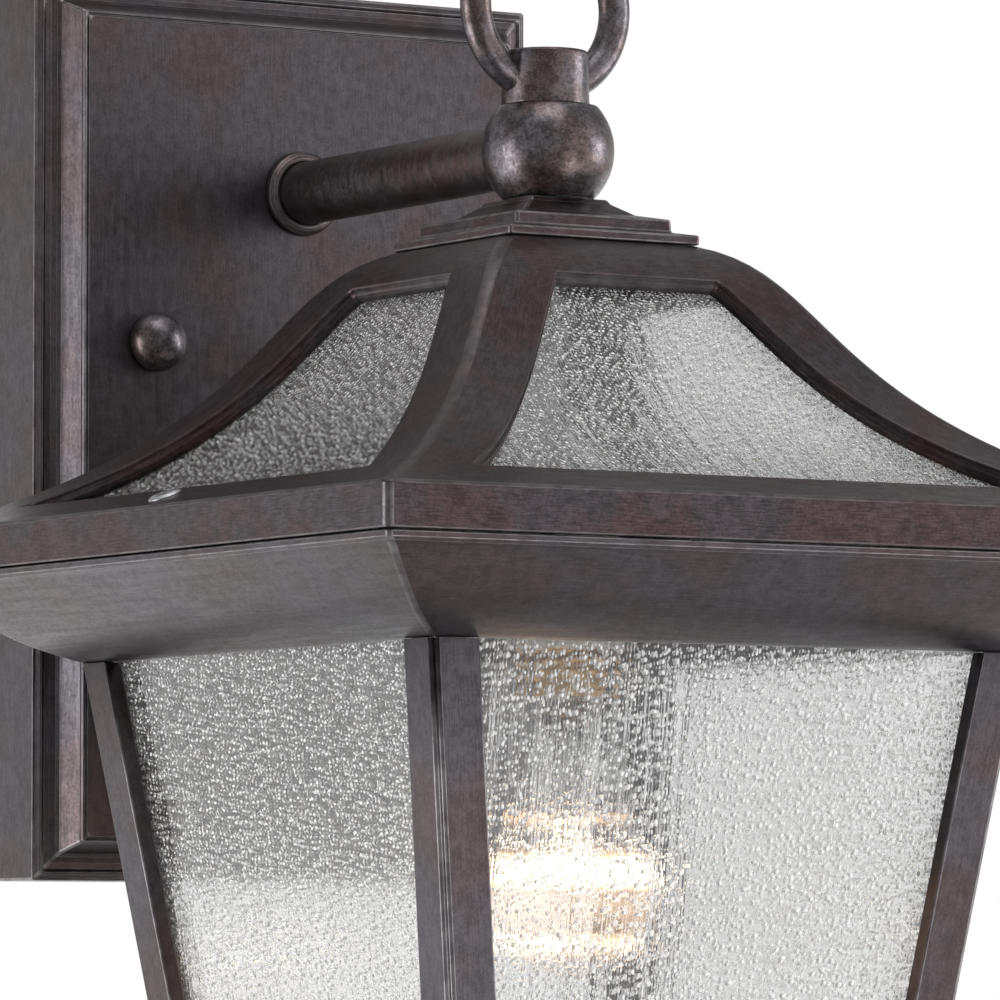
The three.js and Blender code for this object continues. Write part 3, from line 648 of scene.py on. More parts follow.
def wall_plate():
    """A shell with a moulded edge: a small lip, a cove, a steep rise, and a bead at the panel.
    Its outline runs from behind the panel round the rim to the panel's front."""
    edge = [
        (0, -1.2), (0.25, -0.85), (0.6, -1.1), (1.0, -1.0), (1.8, 0.0), (2.4, 0.4), (2.9, 0.1),
        (3.4, -0.5), (5.3, -0.3), (7.0, 0.4), (7.9, 1.4), (8.8, 3.4), (10.9, 8.3), (11.2, 8.6),
        (11.5, 9.35), (12.0, 9.4), (12.2, 8.85), (12.5, 8.85), (12.8, 9.5)]
    front = soften([(-PLATE_WALL, 0), (0, 0)] + [(-inward, LIP + out) for inward, out in edge]
                   + [(-PANEL_INSET, PANEL)], 0.3, 2)
    back = plain([(-PANEL_INSET, PANEL - PLATE_WALL), (-11.8, LIP - 3), (-PLATE_WALL, LIP - 3.5)])
    return framed(back + front, PLATE_HALF[0], PLATE_HALF[1], 0.9, 3)


piece("plate", wall_plate(), on_wall(PLATE), BRUSHED, ["wall_plate"])


def cap_nut():
    dome = [(8.9 * math.cos(a), 1.9 + 7.9 * math.sin(a), 0)
            for a in spread(0, math.pi / 2, 14)[:-1]] + [(0, 9.8, 0)]
    foot = soften([(2.7, 6.8), (2.7, 0), (7.6, 0), (8.5, 0.5), (8.75, 1.2), (8.9, 1.9)], 0.3, 2)
    return turned([(0, 6.8, 0)] + foot[:-1] + dome, 64)


for name in ("left", "right"):
    node = f"cap_nut_{name}"
    low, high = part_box(node)
    foot = -high.y / MM
    centre = (low + high) / 2
    lift = on_wall(centre)
    piece(f"dome_nut_{name}", cap_nut(), lambda x, y, z: lift(x, y, z + foot), TURNED, [node], node)

# ---------------- arm, ball, neck, ring

ARM_START = -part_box("arm_tube")[1].y / MM
ARM_END = -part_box("arm_tube")[0].y / MM
arm = soften([(5.4, ARM_START), (9.5, ARM_START), (9.5, ARM_END), (7.5, ARM_END),
              (7.5, ARM_START + 12), (5.4, ARM_START + 12)], 0.4, 2, closed=True)
piece("arm", turned(arm, 72, closed=True), on_wall(ARM), SMOOTH, ["arm_tube"])

collar = soften([(9.8, 0), (12.3, 0), (12.8, 0.9), (12.5, 2.0), (11.5, 2.9), (10.6, 3.3),
                 (9.8, 3.3)], 0.45, 3, closed=True)
piece("collar", turned(collar, 80, closed=True),
      lambda x, y, z: on_wall(ARM)(x, y, z + ARM_START), SMOOTH, ["arm_collar"])

BALL = middle("arm_ball")
BALL_RADIUS = 19.05
BALL_FLAT = (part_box("arm_ball")[1].z - BALL.z) / MM
BALL_DROP, BALL_TOP = 0.5, 12.6
low_limit, high_limit = math.asin(BALL_FLAT / BALL_RADIUS), math.asin(BALL_TOP / BALL_RADIUS)
sphere = [(BALL_RADIUS * math.cos(a), BALL_RADIUS * math.sin(a) - BALL_DROP, 0)
          for a in spread(-low_limit, low_limit + high_limit, 32)]
ball = turned([(5.4, sphere[0][1], 0), (sphere[0][0] - 0.5, sphere[0][1], 1)] + sphere
              + [(sphere[-1][0] - 0.5, sphere[-1][1], 1), (5.4, sphere[-1][1], 0)], 96,
              closed=True)
piece("ball", ball, upright(*BALL), TURNED, ["arm_ball"])

NECK_LOW = (BALL.z - CAGE_TOP) / MM + BALL_TOP - BALL_DROP + 0.05
NECK_TOP = level("ring_neck", 1)
neck = soften([(5.4, NECK_LOW), (12.8, NECK_LOW), (12.6, NECK_LOW + 2.5), (12.5, NECK_TOP),
               (5.4, NECK_TOP)], 1.3, 5)
neck = plain([(0, NECK_LOW)] + [(r, z) for r, z, _ in neck] + [(0, NECK_TOP)])
piece("neck", turned(neck, 96), on_axis, TURNED, ["ring_neck"])

RING_RADIUS, RING_ROD = 23.5, 4.5
RING_Z = level("top_ring", 1) - RING_RADIUS - RING_ROD
gap = math.asin(8.5 / RING_RADIUS)
loop = [(RING_RADIUS * math.cos(a), 0, RING_Z + RING_RADIUS * math.sin(a))
        for a in spread(-math.pi / 2 + gap, TAU - 2 * gap, 120)]
piece("ring", wire(loop, RING_ROD, 28, blunt=False), on_axis, TURNED, ["top_ring"])

# ---------------- roof

CORNERS = ("front_left", "front_right", "back_right", "back_left")
HIP = [(32, 116.4), (61.5, 107.9), (55.5, 64.6), (133.4, 38.4)]
EAVE_HALF = (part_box("roof_rim")[1].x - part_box("roof_rim")[0].x) / 2 / MM
FASCIA_LOW, FASCIA_HIGH = 25.8, 38.4
FRAME_THICK, ROOF_GLASS = 5.0, 2.5
WINDOW_LOW, WINDOW_HIGH = 117.5, 48.7
LEDGE_DEPTH, LEDGE = 2.4, 1.1
# The middle number is how much lighter the top return of each window is coloured: a painted
# highlight.
WINDOW_STEPS, WINDOW_TOP_PAINTED_SHEEN, RIB_GRAIN = 34, 0.55, 22


def hip_point(t):
    """Half width and height of the roof at t on its hip's ogee curve."""
    u = 1 - t
    weights = (u ** 3, 3 * u * u * t, 3 * u * t * t, t ** 3)
    return tuple(sum(w * p[i] for w, p in zip(weights, HIP)) for i in (0, 1))


def hip_at(half):
    """Where on the hip, from 0 at the crown to 1 at the eave, it is this far from the axis."""
    low, high = 0.0, 1.0
    for _ in range(40):
        mid = (low + high) / 2
        low, high = (mid, high) if hip_point(mid)[0] < half else (low, mid)
    return low


def rib_width(half):
    """From a hip to the window's edge, in plan. The rib narrows a little at the eave."""
    return 21.9 - 1.9 * min(1, max(0, (half - 92) / 25)) ** 2


def sunk(t, depth):
    """The hip's outline at t, this far under its surface."""
    (x0, z0), (x1, z1) = hip_point(max(t - 1e-4, 0)), hip_point(min(t + 1e-4, 1))
    length = math.hypot(x1 - x0, z1 - z0)
    x, z = hip_point(t)
    return x + (z1 - z0) / length * depth, z - (x1 - x0) / length * depth


def quarter(x, y, k):
    """The point turned by k quarters about the axis."""
    for _ in range(k):
        x, y = -y, x
    return x, y


def roof_frame():
    """Crown, four ribs and eave as one casting, with four windows. Each window's edge steps
    down once before it reaches the glass."""
    shape = Shape()
    top, bottom = hip_at(WINDOW_HIGH), hip_at(WINDOW_LOW)
    run = lengths([hip_point(k / 400) for k in range(401)])

    def distance(t):
        """How far down the hip t lies."""
        return float(np.interp(t * 400, range(401), run))

    def ring(half, z, outer=None):
        """Four corners, and two points on each side, a rib's width from the corners."""
        outer = outer or half
        reach = outer - rib_width(outer)
        return [shape.point(*quarter(x, y, k), z) for k in range(4)
                for x, y in ((-half, -half), (-reach, -half), (reach, -half))]

    def strip(upper, lower, run_a, run_b, half_a, half_b, window=False):
        """Faces between two rings. Beside a window the grain runs down the ribs and the middle
        of each side is left open, and elsewhere the grain runs round."""
        for k in range(4):
            corner, near, far, after = 3 * k, 3 * k + 1, 3 * k + 2, (3 * k + 3) % 12
            for p, q, a, b in ((corner, near, 0, RIB_GRAIN), (near, far, None, None),
                               (far, after, RIB_GRAIN, 0)):
                if a is None and window:
                    continue
                if a is None:
                    grain = [(run_a, -half_a), (run_a, half_a), (run_b, half_b), (run_b, -half_b)]
                elif window:
                    grain = [(a, run_a), (b, run_a), (b, run_b), (a, run_b)]
                else:
                    grain = [(run_a, a - half_a), (run_a, b - half_a), (run_b, b - half_b),
                             (run_b, a - half_b)]
                shape.face([upper[p], upper[q], lower[q], lower[p]], [(*g, 0) for g in grain])

    crown = spread(0, top, 5)[:-1]
    window = spread(top, bottom - top, WINDOW_STEPS)
    outer_t = crown + window + spread(bottom, 1 - bottom, 5)[1:]
    outer = [ring(*hip_point(t)) for t in outer_t]
    for j, (a, b) in enumerate(zip(outer_t, outer_t[1:])):
        strip(outer[j], outer[j + 1], distance(a), distance(b), hip_point(a)[0], hip_point(b)[0],
              window=0 <= j - len(crown) < WINDOW_STEPS)

    step = LEDGE / (distance(bottom) - distance(top)) * (bottom - top)
    tight = spread(top + step, bottom - top - 2 * step, WINDOW_STEPS)
    inner = [ring(*sunk(t, FRAME_THICK), hip_point(t)[0] - (LEDGE if t in tight else 0))
             for t in crown[1:] + tight]
    inner += [ring(half, z) for half, z in (
        (123.0, 40.2), (128.2, 36.0), (128.4, 31.0), (128.4, FASCIA_LOW))]
    for j in range(len(inner) - 1):
        strip(inner[j], inner[j + 1], j * 3, j * 3 + 3, 100, 100, window=0 <= j - 4 < WINDOW_STEPS)

    foot = ring(EAVE_HALF, FASCIA_LOW)
    strip(outer[-1], foot, 0, FASCIA_HIGH - FASCIA_LOW, EAVE_HALF, EAVE_HALF)
    strip(foot, inner[-1], 0, 5, EAVE_HALF, EAVE_HALF)
    for row in (outer[0], inner[0]):
        shape.face(row, [(shape.points[i][0], shape.points[i][1], 0) for i in row])
    for k in range(4):
        window_sides(shape, k, window, tight, outer[len(crown):-5], inner[4:-4],
                     distance)
    return shape


def window_sides(shape, k, window, tight, outer, inner, distance):
    """The four walls of one window, from the outer skin down over the ledge to the inner skin."""
    levels = [[[row[3 * k + i] for row in outer] for i in (1, 2)]]
    for steps, ledge in ((window, 0), (tight, LEDGE)):
        pairs = []
        for t in steps:
            half, z = sunk(t, LEDGE_DEPTH)
            reach = hip_point(t)[0] - rib_width(hip_point(t)[0]) - ledge
            pairs.append([shape.point(*quarter(x, -half, k), z) for x in (-reach, reach)])
        levels.append([[pair[i] for pair in pairs] for i in (0, 1)])
    levels.append([[row[3 * k + i] for row in inner] for i in (1, 2)])
    for upper, lower, depth in zip(levels, levels[1:], (0, LEDGE_DEPTH, LEDGE_DEPTH + LEDGE)):
        for side_a, side_b in zip(upper, lower):
            for j in range(WINDOW_STEPS):
                a, b = distance(window[j]), distance(window[j + 1])
                shape.face([side_a[j], side_a[j + 1], side_b[j + 1], side_b[j]],
                           [(depth, a, 0), (depth, b, 0), (depth + 2, b, 0), (depth + 2, a, 0)])
        # The top return wall of each window is coloured lighter, a painted highlight; the bottom one
        # is not.
        for j, edge_wear_and_sheen in ((0, WINDOW_TOP_PAINTED_SHEEN), (WINDOW_STEPS, 0)):
            shape.face([upper[0][j], upper[1][j], lower[1][j], lower[0][j]],
                       [(depth, -40, edge_wear_and_sheen), (depth, 40, edge_wear_and_sheen), (depth + 2, 40, edge_wear_and_sheen),
                        (depth + 2, -40, edge_wear_and_sheen)])


def on_outside(p):
    """Whether a point lies on the roof's outer surface or on the fascia."""
    half = max(abs(p[0]), abs(p[1]))
    if p[2] < FASCIA_HIGH + 0.01:
        return abs(half - EAVE_HALF) < 0.01
    return half > HIP[0][0] - 0.01 and abs(hip_point(hip_at(half))[1] - p[2]) < 0.05


def is_corner(p):
    return abs(abs(p[0]) - abs(p[1])) < 0.01


def hip_edge(a, b):
    return is_corner(a) and is_corner(b) and on_outside(a) and on_outside(b)


def window_edge(a, b):
    if not (on_outside(a) and on_outside(b)):
        return False
    for p in (a, b):
        half, other = max(abs(p[0]), abs(p[1])), min(abs(p[0]), abs(p[1]))
        inside = WINDOW_HIGH - 0.05 < half < WINDOW_LOW + 0.05
        if not (inside and abs(half - other - rib_width(half)) < 0.05):
            return False
    return True


def level_edge(height):
    def test(a, b):
        return all(on_outside(p) and abs(p[2] - height) < 0.01 for p in (a, b))

    return test


def roof_wear_and_sheen(at):
    """Lighter edge colour, as worn paint and as painted highlight: fascia corners most, hips as a
    painted highlight growing lighter towards the top, the fascia's edges all along, windows little.
    """
    x, y, z = abs(at.x - AXIS.x) / MM, abs(at.y - AXIS.y) / MM, (at.z - CAGE_TOP) / MM
    if abs(x - y) < 4:
        return 0.9 if z < FASCIA_HIGH - 1 else min(0.42, max(0.08, (z - 50) / 100))
    return 0.45 if z < FASCIA_HIGH + 1 else 0.1


piece("roof_frame", roof_frame(), on_axis, CAST,
      [f"roof_rib_{corner}" for corner in CORNERS] + ["roof_crown", "roof_rim"],
      bevels=[(hip_edge, 2.3), (window_edge, 0.7), (level_edge(FASCIA_HIGH), 0.9),
              (level_edge(FASCIA_LOW), 0.5)], wear_and_sheen=roof_wear_and_sheen)

CAP_LOW, CAP_HIGH = level("roof_cap", 0), level("roof_cap", 1)
cap = soften([(0.5, CAP_LOW), (32, CAP_LOW), (32, CAP_LOW + 2.8), (26.3, CAP_LOW + 3.9),
              (26.1, CAP_LOW + 7.5), (19, CAP_LOW + 9.0), (13.9, CAP_LOW + 12.3),
              (12.9, CAP_HIGH - 0.7), (6, CAP_HIGH - 0.7)], 0.7, 3)
piece("cap", framed(cap, corner=1.1), on_axis, CAST, ["roof_cap"])

SCREW_AT = (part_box("eave_screw_right")[0].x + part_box("eave_screw_right")[1].x) / 2 / MM + 3
SCREW_HEAD = [(2, 0), (4.8, 0), (4.8, 0.3), (4.0, 0.9), (2.6, 1.25), (1.2, 1.3)]
CROSS_WIDTH, CROSS_LENGTH, CROSS_DEPTH = 1.8, 6.0, 0.6


def eave_screw(side):
    """A round head seated square on the sloping rail, with a cross cut into it."""
    head = [(0, -1, 0), (2, -1, 0), (2, 0, 0)] + soften(SCREW_HEAD, 0.3, 3)[1:]
    shape = turned(head + [(0, SCREW_HEAD[-1][1], 0)], 48)
    half, height = hip_point(hip_at(SCREW_AT))
    x0, z0 = hip_point(hip_at(SCREW_AT) - 0.01)
    tilt = math.atan2(z0 - height, half - x0)
    for i, (x, y, z) in enumerate(shape.points):
        across, along = sorted((abs(x), abs(y)))
        if z > 0.8 and across < CROSS_WIDTH / 2 and along < CROSS_LENGTH / 2:
            z -= CROSS_DEPTH
        turned_x = side * (x * math.cos(tilt) + z * math.sin(tilt))
        shape.points[i] = (side * half + turned_x, y, height - x * math.sin(tilt)
                           + z * math.cos(tilt))
    return shape


for name, side in (("left", -1), ("right", 1)):
    piece(f"screw_{name}", eave_screw(side), on_axis, STEEL, [f"eave_screw_{name}"])

# ---------------- panes


def ripple(u, v, seed):
    """Slow waves in a drawn sheet, in millimetres."""
    return 0.11 * noise.noise(Vector((u / 13.0, v / 42.0, seed))) + 0.05 * noise.noise(
        Vector((u / 5.0, v / 26.0, seed + 9.0)))


def sheet(columns, rows, at):
    """A closed sheet of glass. at(u, v, side) gives a point, side 0 on the outside, 1 inside,
    and the two grain coordinates."""
    shape = Shape()
    grid = [[[shape.point(*at(i / columns, j / rows, s)[0]) for i in range(columns + 1)]
             for j in range(rows + 1)] for s in (0, 1)]
    tone = [[(*at(i / columns, j / rows, 0)[1], 0) for i in range(columns + 1)]
            for j in range(rows + 1)]
    for s in (0, 1):
        for j in range(rows):
            for i in range(columns):
                quad = [(j, i), (j, i + 1), (j + 1, i + 1), (j + 1, i)]
                shape.face([grid[s][a][b] for a, b in quad], [tone[a][b] for a, b in quad])
    border = ([(0, i) for i in range(columns)] + [(j, columns) for j in range(rows)]
              + [(rows, i) for i in range(columns, 0, -1)] + [(j, 0) for j in range(rows, 0, -1)])
    for n, (a, b) in enumerate(border):
        c, d = border[(n + 1) % len(border)]
        shape.face([grid[0][a][b], grid[0][c][d], grid[1][c][d], grid[1][a][b]],
                   [tone[a][b], tone[c][d], tone[c][d], tone[a][b]])
    return shape


ROOF_OVERLAP = 9.0


def roof_pane(k):
    low_t, high_t = hip_at(WINDOW_LOW + 4), hip_at(WINDOW_HIGH - 4)
    depth = FRAME_THICK + 0.35

    def at(u, v, side):
        t = low_t + (high_t - low_t) * v
        half, z = sunk(t, depth + side * (ROOF_GLASS - 0.1))
        reach = hip_point(t)[0] - ROOF_OVERLAP - 3
        x = (2 * u - 1) * reach
        wave = ripple(x, t * 120, k * 5.3 + side * 2.0) * 0.8
        x, y = quarter(x, -(half + wave * 0.5), k)
        return (x, y, z + wave * 0.5), ((2 * u - 1) * reach, t * 130)

    return sheet(56, 44, at)


CAGE_HALF, CAGE_HEIGHT, TAPER = 97.9, 207.0, 0.1429
SIDE_GLASS, GLASS_INSET = 3.0, 5.6
# How much finer the grain is across and along the sheet: front and back, then right and left.
SIDE_SPREAD, SIDE_DRAW = (1.0, 0.75), (0.6, 1.0)


def side_pane(k):
    low, high, inset = -CAGE_HEIGHT + 0.35, 2.9, 9.2

    def at(u, v, side):
        z = low + (high - low) * v
        half = CAGE_HALF + TAPER * z
        x = (2 * u - 1) * (half - inset)
        y = -(half - GLASS_INSET - 0.12 - side * (SIDE_GLASS - 0.24))
        y += ripple(x, z, k * 3.1 + side * 1.7) * 0.6
        x2, y2 = quarter(x, y, k)
        return (x2, y2, z), (x * SIDE_SPREAD[k % 2], z * SIDE_DRAW[k % 2])

    return sheet(60, 70, at)


for k, name in enumerate(("front", "right", "back", "left")):
    for part, pane in (("roof", roof_pane), ("side", side_pane)):
        piece(f"{part}_glass_{name}", pane(k), on_axis, SEEDED, [f"{part}_pane_{name}"],
              flat=True)

# ---------------- cage

swell = bezier([(97.6, -0.3), (112, 5.2), (117.6, 9.4), (130, 21.8)], 22)
top = soften([(119, 25.5), (119, 22.5), (122.5, 22.5), (119.5, 18), (111, 10), (102, 6),
              (94, 4.6), (93.4, -0.3), swell[0]], 0.5, 2)[:-1]
lip = soften([swell[-1], (131.4, 22.6), (132.2, 23.6), (132.3, 25.5), (119, 25.5)], 0.6, 3)[:-1]
piece("eave_moulding", framed(top + swell[:-1] + lip, corner=1.6, bend=4, closed=True), on_axis,
      BRUSHED, ["cage_top"])

# An angle section. Its outer corner is cut off, with a groove in the cut, and beside the groove the
# cut is coloured lighter, a painted highlight.
POST_WIDTH, POST_THICK, POST_CUT = 15.0, 5.3, 2.1
post = soften([(0, POST_CUT), (0.8, 1.3), (1.5, 1.5), (1.3, 0.8), (POST_CUT, 0), (POST_WIDTH, 0),
               (POST_WIDTH, POST_THICK), (POST_THICK, POST_THICK), (POST_THICK, POST_WIDTH),
               (0, POST_WIDTH)], 0.6, 2, closed=True)
post = [(x, y, 1 if max(x, y) < POST_CUT + 0.1 and abs(x - y) > 0.5 else edge)
        for x, y, edge in post]
for k, name in enumerate(CORNERS):
    shape = Shape().join(
        extruded(post, -CAGE_HEIGHT + 0.3, -0.6, (-TAPER, -TAPER), 6),
        lambda x, y, z: (*quarter(x - CAGE_HALF, y - CAGE_HALF, k), z))
    piece(f"post_{name}", shape, on_axis, BRUSHED, [f"corner_post_{name}"])

BASE_TOP, BASE_LOW = -207.0, -224.0
base = soften([(56, BASE_LOW), (72, BASE_LOW), (74.2, BASE_LOW + 1), (75, BASE_LOW + 3),
               (75, BASE_LOW + 7), (73.4, BASE_LOW + 10), (70, BASE_LOW + 12.5),
               (70, BASE_TOP - 0.3), (56, BASE_TOP - 0.3)], 0.8, 3, closed=True)
piece("bottom_frame", framed(base, corner=1.4, closed=True), on_axis, BRUSHED, ["base_frame"])

# ---------------- tray, finial, hinge, screw

TRAY_TOP, TRAY_LOW = -224.3, -227.3
under = [(0.5, -7), (15, -7), (17, -5.5), (38, -4), (40, -2.5), (53, -1.5), (55, 0)]
above = [(max(half - 1, 0.5), z + 2.2) for half, z in under][::-1]
tray_path = soften([(h, TRAY_LOW + z) for h, z in under]
                   + [(67, TRAY_LOW), (67, TRAY_TOP), (54, TRAY_TOP)]
                   + [(h, TRAY_LOW + z) for h, z in above], 0.7, 3)
piece("tray_plate", framed(tray_path, corner=1.4), on_axis, BRUSHED, ["tray"], "tray")

FINIAL_TOP = level("tray_finial", 1)
drop = [(0, -28), (1.2, -27.7), (2.2, -26.8), (3.2, -25), (4.1, -22.9), (5.8, -21.2), (7.6, -20),
        (8.8, -18), (9.5, -15.6), (9.8, -13), (9.6, -11), (8.7, -9), (7.2, -7.4), (5.6, -6.2),
        (5.0, -5.3), (5.1, -4.5), (6.4, -3.9), (8.2, -3.3), (9.4, -2.0), (9.5, -1.0), (9.4, 0),
        (0, 0)]
finial = turned(plain([(r, FINIAL_TOP + z) for r, z in drop]), 72)
piece("finial", finial, on_axis, TURNED, ["tray_finial"], "tray")


def hinge_place(x, y, z):
    return (HINGE.x + z * MM, HINGE.y + x * MM, HINGE.z + y * MM)


pin_half = (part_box("hinge_pin")[1].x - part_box("hinge_pin")[0].x) / 2 / MM
pin = [(0, -pin_half, 0), (1.1, -pin_half, 1), (1.5, -pin_half + 0.4, 0), (1.5, pin_half - 0.4, 0),
       (1.1, pin_half, 1), (0, pin_half, 0)]
piece("pin", turned(pin, 32), hinge_place, STEEL, ["hinge_pin"])


def thumb_screw():
    """A knurled head under the tray, and its shank up into the frame."""
    low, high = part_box("thumb_screw")
    height = (high.z - low.z) / MM
    path = [(0, 0.3, 0), (3.5, 0, 0), (4.6, 0.2, 1), (5.6, 0.9, 0), (5.9, 1.6, 0), (5.9, 6.0, 0),
            (5.4, 6.7, 1), (4.6, 7, 0), (2, 7, 0), (2, height - 0.6, 1), (1.5, height, 0),
            (0, height, 0)]
    shape = turned(path, 96)
    for i, (x, y, z) in enumerate(shape.points):
        r = math.hypot(x, y)
        if r > 5.2:
            knurl = 0.93 + 0.07 * (0.5 + 0.5 * math.cos(24 * math.atan2(y, x)))
            shape.points[i] = (x * knurl, y * knurl, z)
    return shape, low.z


screw, screw_low = thumb_screw()
piece("latch_screw", screw, upright(LATCH.x, LATCH.y, screw_low), TURNED, ["thumb_screw"],
      "thumb_screw")

# ---------------- lamp holder and bulb

body_path = soften([(14.6, 19.5), (14.6, 2), (17, 2), (18, 3), (18, 22), (16, 26), (16, 34)], 0.7, 3)
holder = turned([(0, 19.5, 0)] + body_path + [(15.2, 34, 0), (0, 34, 0)], 72)
piece("socket", holder, on_holder, PORCELAIN, ["holder_body"])
shell = turned(soften([(13.5, 3), (14.3, 3), (14.3, 17), (13.5, 17)], 0.2, 2, closed=True), 72,
               closed=True)
piece("socket_shell", shell, on_holder, BRASS, ["holder_shell"])

BULB_RADIUS, BULB_TIP, BULB_WALL, BULB_NECK = 25.0, -92.0, 0.8, 12.2
bulb_centre = BULB_TIP + BULB_RADIUS


def bulb_outline(shrink):
    round_part = [((BULB_RADIUS - shrink) * math.cos(a),
                   bulb_centre + (BULB_RADIUS - shrink) * math.sin(a), 0)
                  for a in spread(-math.pi / 2, math.radians(125), 30)]
    round_part[0] = (0, round_part[0][1], 0)
    neck_part = bezier([round_part[-1][:2], (BULB_NECK - shrink + 1.4, -31),
                        (BULB_NECK - shrink, -14)], 16)[1:]
    return round_part + neck_part + [(BULB_NECK - shrink, -8, 0)]


glass = turned(bulb_outline(0) + bulb_outline(BULB_WALL)[::-1], 80)
piece("lamp_glass", glass, on_holder, PAINTED_GLOW_GLASS, ["bulb_glass"], "bulb", flat=True)


def screw_base():
    """The cap of an Edison screw lamp: a rolled thread over a thin shell."""
    shape = Shape()
    steps, pitch, radius, depth = 72, 3.63, 13.1, 0.95
    foot, start, stop, run_out = -11.5, -9.5, 8.6, 1.5
    rings = []
    for z in spread(foot, 21, 84):
        fade = min(1, max(0, min(z - start, stop - z) / run_out))
        row = []
        for k in range(steps):
            a = TAU * k / steps
            wave = 0.5 + 0.5 * math.cos(TAU * (z / pitch - k / steps))
            r = radius - fade * depth * (1 - wave)
            row.append(shape.point(r * math.cos(a), r * math.sin(a), z))
        rings.append(row)
    rings += [shape.circle(r, z, steps) for r, z in (
        (12.4, 10.2), (10, 12.5), (6.5, 13.6), (5, 14), (4.6, 14.8), (4.4, 16.3), (2.5, 16.8))]
    rings = [shape.circle(12.5, z, steps) for z in (9.0, foot)] + rings
    shape.skin(rings, lambda j, k, down, over: (j + down, k + over))
    for ring in (rings[0], rings[-1]):
        shape.face(ring, [(0, 0, 0)] * steps)
    return shape


piece("lamp_cap", screw_base(), on_holder, BRASS, ["bulb_base"], "bulb")

stem = plain([(0, -46), (1.6, -45.9), (2.4, -45), (2.9, -43.4), (3.2, -41), (3.4, -33), (3.6, -25),
              (4.6, -19), (6.4, -14.5), (8.8, -11), (10.8, -9), (10.8, -8), (0, -8)])
piece("lamp_stem", turned(stem, 40), on_holder, CLEAR, ["bulb_stem"], "bulb",
      flat=True)


def spline(points, steps):
    """Points along a Catmull-Rom curve."""
    p = [np.array(q, float) for q in points]
    p = [2 * p[0] - p[1]] + p + [2 * p[-1] - p[-2]]
    out = []
    for i in range(1, len(p) - 2):
        for s in range(steps):
            t = s / steps
            out.append(0.5 * (2 * p[i] + (p[i + 1] - p[i - 1]) * t
                              + (2 * p[i - 1] - 5 * p[i] + 4 * p[i + 1] - p[i + 2]) * t * t
                              + (3 * p[i] - p[i - 1] - 3 * p[i + 1] + p[i + 2]) * t ** 3))
    return out + [p[-2]]


def filament():
    """Two lead wires out of the stem, and the coil slung between their ends."""
    shape = Shape()
    for side in (-1, 1):
        lead = spline([(side * 1.6, 0, -45.5), (side * 2.2, 0, -50), (side * 8, 0, -57),
                       (side * 12.4, 0, FILAMENT)], 8)
        shape.join(wire(lead, 0.32, 8))
    arc = spline([(-12.4, 0, FILAMENT), (-9.2, -4.0, FILAMENT), (-3, -6.3, FILAMENT + 0.4),
                  (3, -6.3, FILAMENT + 0.4), (9.2, -4.0, FILAMENT), (12.4, 0, FILAMENT)], 60)
    coil, turn = [], 0.0
    for i in range(len(arc) - 1):
        along = arc[i + 1] - arc[i]
        along = along / np.linalg.norm(along)
        side = np.cross(along, [0, 0, 1.0])
        side /= np.linalg.norm(side)
        up = np.cross(side, along)
        turn += TAU / 9
        coil.append(arc[i] + 0.62 * (math.cos(turn) * side + math.sin(turn) * up))
    shape.join(wire(coil, 0.24, 6))
    return shape


piece("lamp_filament", filament(), on_holder, TUNGSTEN, ["bulb_filament"], "bulb",
      flat=True)

# ---------------- the rest of the CAD nodes

KEPT = {
    STEEL: ["mounting_bar", "mount_stud_left", "mount_stud_right", "stud_nut_left",
            "stud_nut_right", "arm_pipe", "arm_lock_nut", "lantern_pipe", "roof_lock_nut",
            "holder_cap", "glass_clip_front", "glass_clip_right", "glass_clip_back",
            "glass_clip_left"],
    GREEN: ["ground_screw"],
    BRASS: ["holder_contact"],
    BRUSHED: ["frame_hinge_leaf", "tray_hinge_leaf"],
}
for material, names in KEPT.items():
    for name in names:
        for place in frame["nodes"][name].material_slots:
            place.material = material

# ---------------- floor, world and lights

FLOOR_RADIUS, FLOOR_DROP, FLOOR_BACK = 0.85, 0.25, 0.17


def floor():
    """A pale round floor under the lantern, some way below it."""
    tree = Tree("pale_floor")
    cloud = tree.noise(tree.place(), 6, 3.0)
    material = tree.principled({
        "Base Color": tree.mix(cloud, (0.90, 0.90, 0.90, 1), (0.93, 0.93, 0.93, 1)),
        "Roughness": 0.6})
    disc = Shape()
    disc.circle(FLOOR_RADIUS, cad_box[0][2] - FLOOR_DROP, 96)
    mesh = bpy.data.meshes.new("floor")
    mesh.from_pydata([(x, y - FLOOR_BACK, z) for x, y, z in disc.points], [], [list(range(96))])
    mesh.materials.append(material)
    in_scene("floor", mesh)


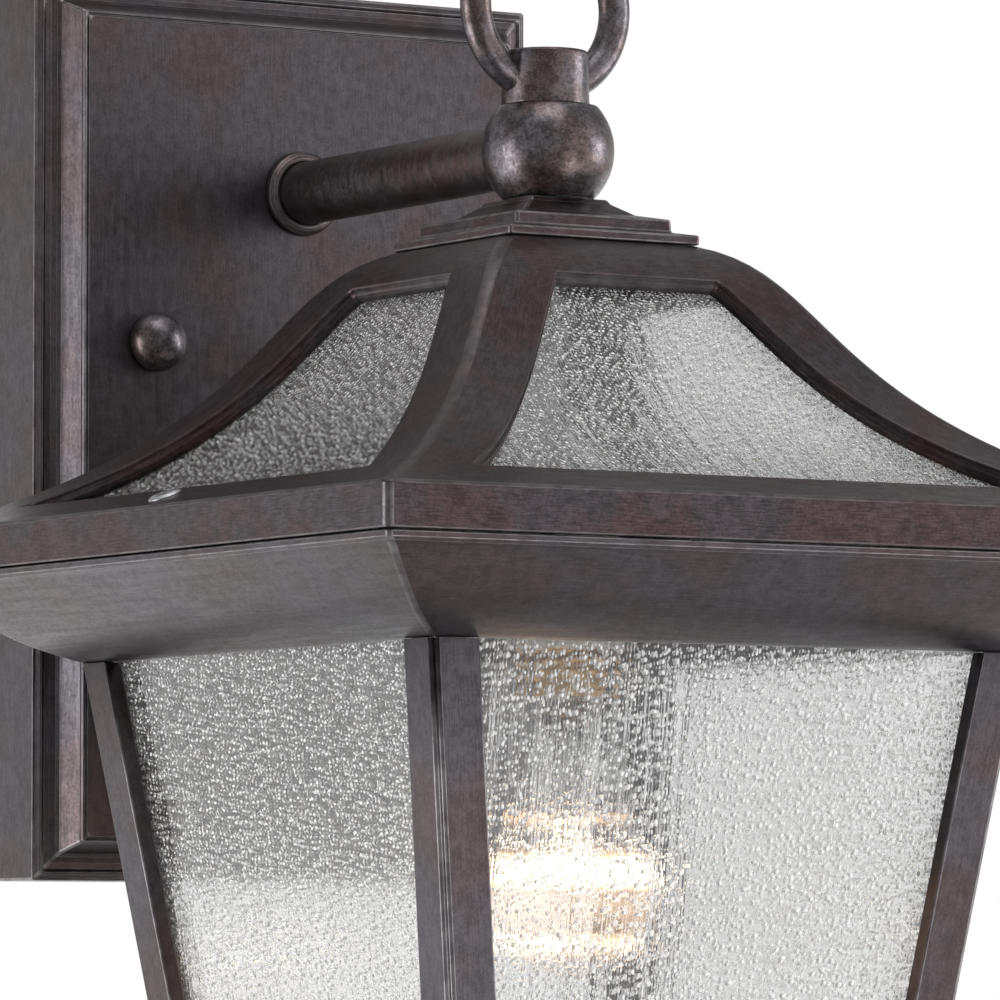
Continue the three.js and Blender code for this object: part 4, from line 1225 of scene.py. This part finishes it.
def soft_box(name, direction, distance, size, power):
    """A square of light that faces the lantern from this direction."""
    target = Vector((0.0, AXIS.y, CAGE_TOP))
    data = bpy.data.lights.new(name, "AREA")
    data.shape = "RECTANGLE"
    data.size, data.size_y = size
    data.energy = power
    light = in_scene(name, data)
    away = Vector(direction).normalized()
    light.location = target + away * distance
    light.rotation_euler = away.to_track_quat("Z", "Y").to_euler()
    light.visible_camera = False
    light.visible_transmission = False


VIEW_AHEAD, FRONT_RIGHT = (0.5282, 0.8466, 0.0660), (0.53, -0.85, 0.0)


def world():
    """White all round to look at. As light it is white straight behind the lantern and in front
    on the right, bright behind and low down, fairly bright overhead, and dim elsewhere."""
    data = bpy.data.worlds.new("studio")
    data.use_nodes = True
    tree = Tree("unused")
    bpy.data.materials.remove(tree.material)
    tree.tree = data.node_tree
    tree.tree.nodes.clear()
    towards = tree.add("ShaderNodeTexCoord").outputs["Generated"]
    ahead, right = (tree.add("ShaderNodeVectorMath", {0: towards, 1: way},
                             operation="DOT_PRODUCT").outputs["Value"]
                    for way in (VIEW_AHEAD, FRONT_RIGHT))
    _, back, up = tree.add("ShaderNodeSeparateXYZ", {0: towards}).outputs
    low_behind = tree.times(tree.ramp(back, -0.2, 0.4), tree.ramp(up, 0.45, -0.35))
    light = tree.plus(tree.ramp(right, 0.5, 1.0, 0.36, 1.0), low_behind)
    light = tree.math("MAXIMUM", light, tree.ramp(up, 0.45, 0.95, 0.0, 0.7))
    light = tree.math("MAXIMUM", light, tree.ramp(ahead, 0.925, 0.975))
    seen = tree.add("ShaderNodeLightPath").outputs["Is Camera Ray"]
    strength = tree.add("ShaderNodeMix", {0: seen, 2: light, 3: 1.0}, data_type="FLOAT")
    background = tree.add("ShaderNodeBackground", {"Color": WHITE, "Strength": strength.outputs[0]})
    tree.add("ShaderNodeOutputWorld", {0: background.outputs[0]})
    bpy.context.scene.world = data


floor()
world()
soft_box("left_box", (-0.93, 0.27, -0.13), 1.6, (0.8, 1.2), 12.5)
soft_box("right_box", (0.913, -0.406, 0.09), 1.6, (0.7, 0.9), 9)
soft_box("top_box", (-0.15, -0.35, 1.0), 1.5, (0.8, 0.8), 5)
soft_box("front_box", (0.20, -0.90, -0.40), 2.2, (0.9, 0.6), 8)
bpy.context.scene.view_settings.view_transform = "Standard"
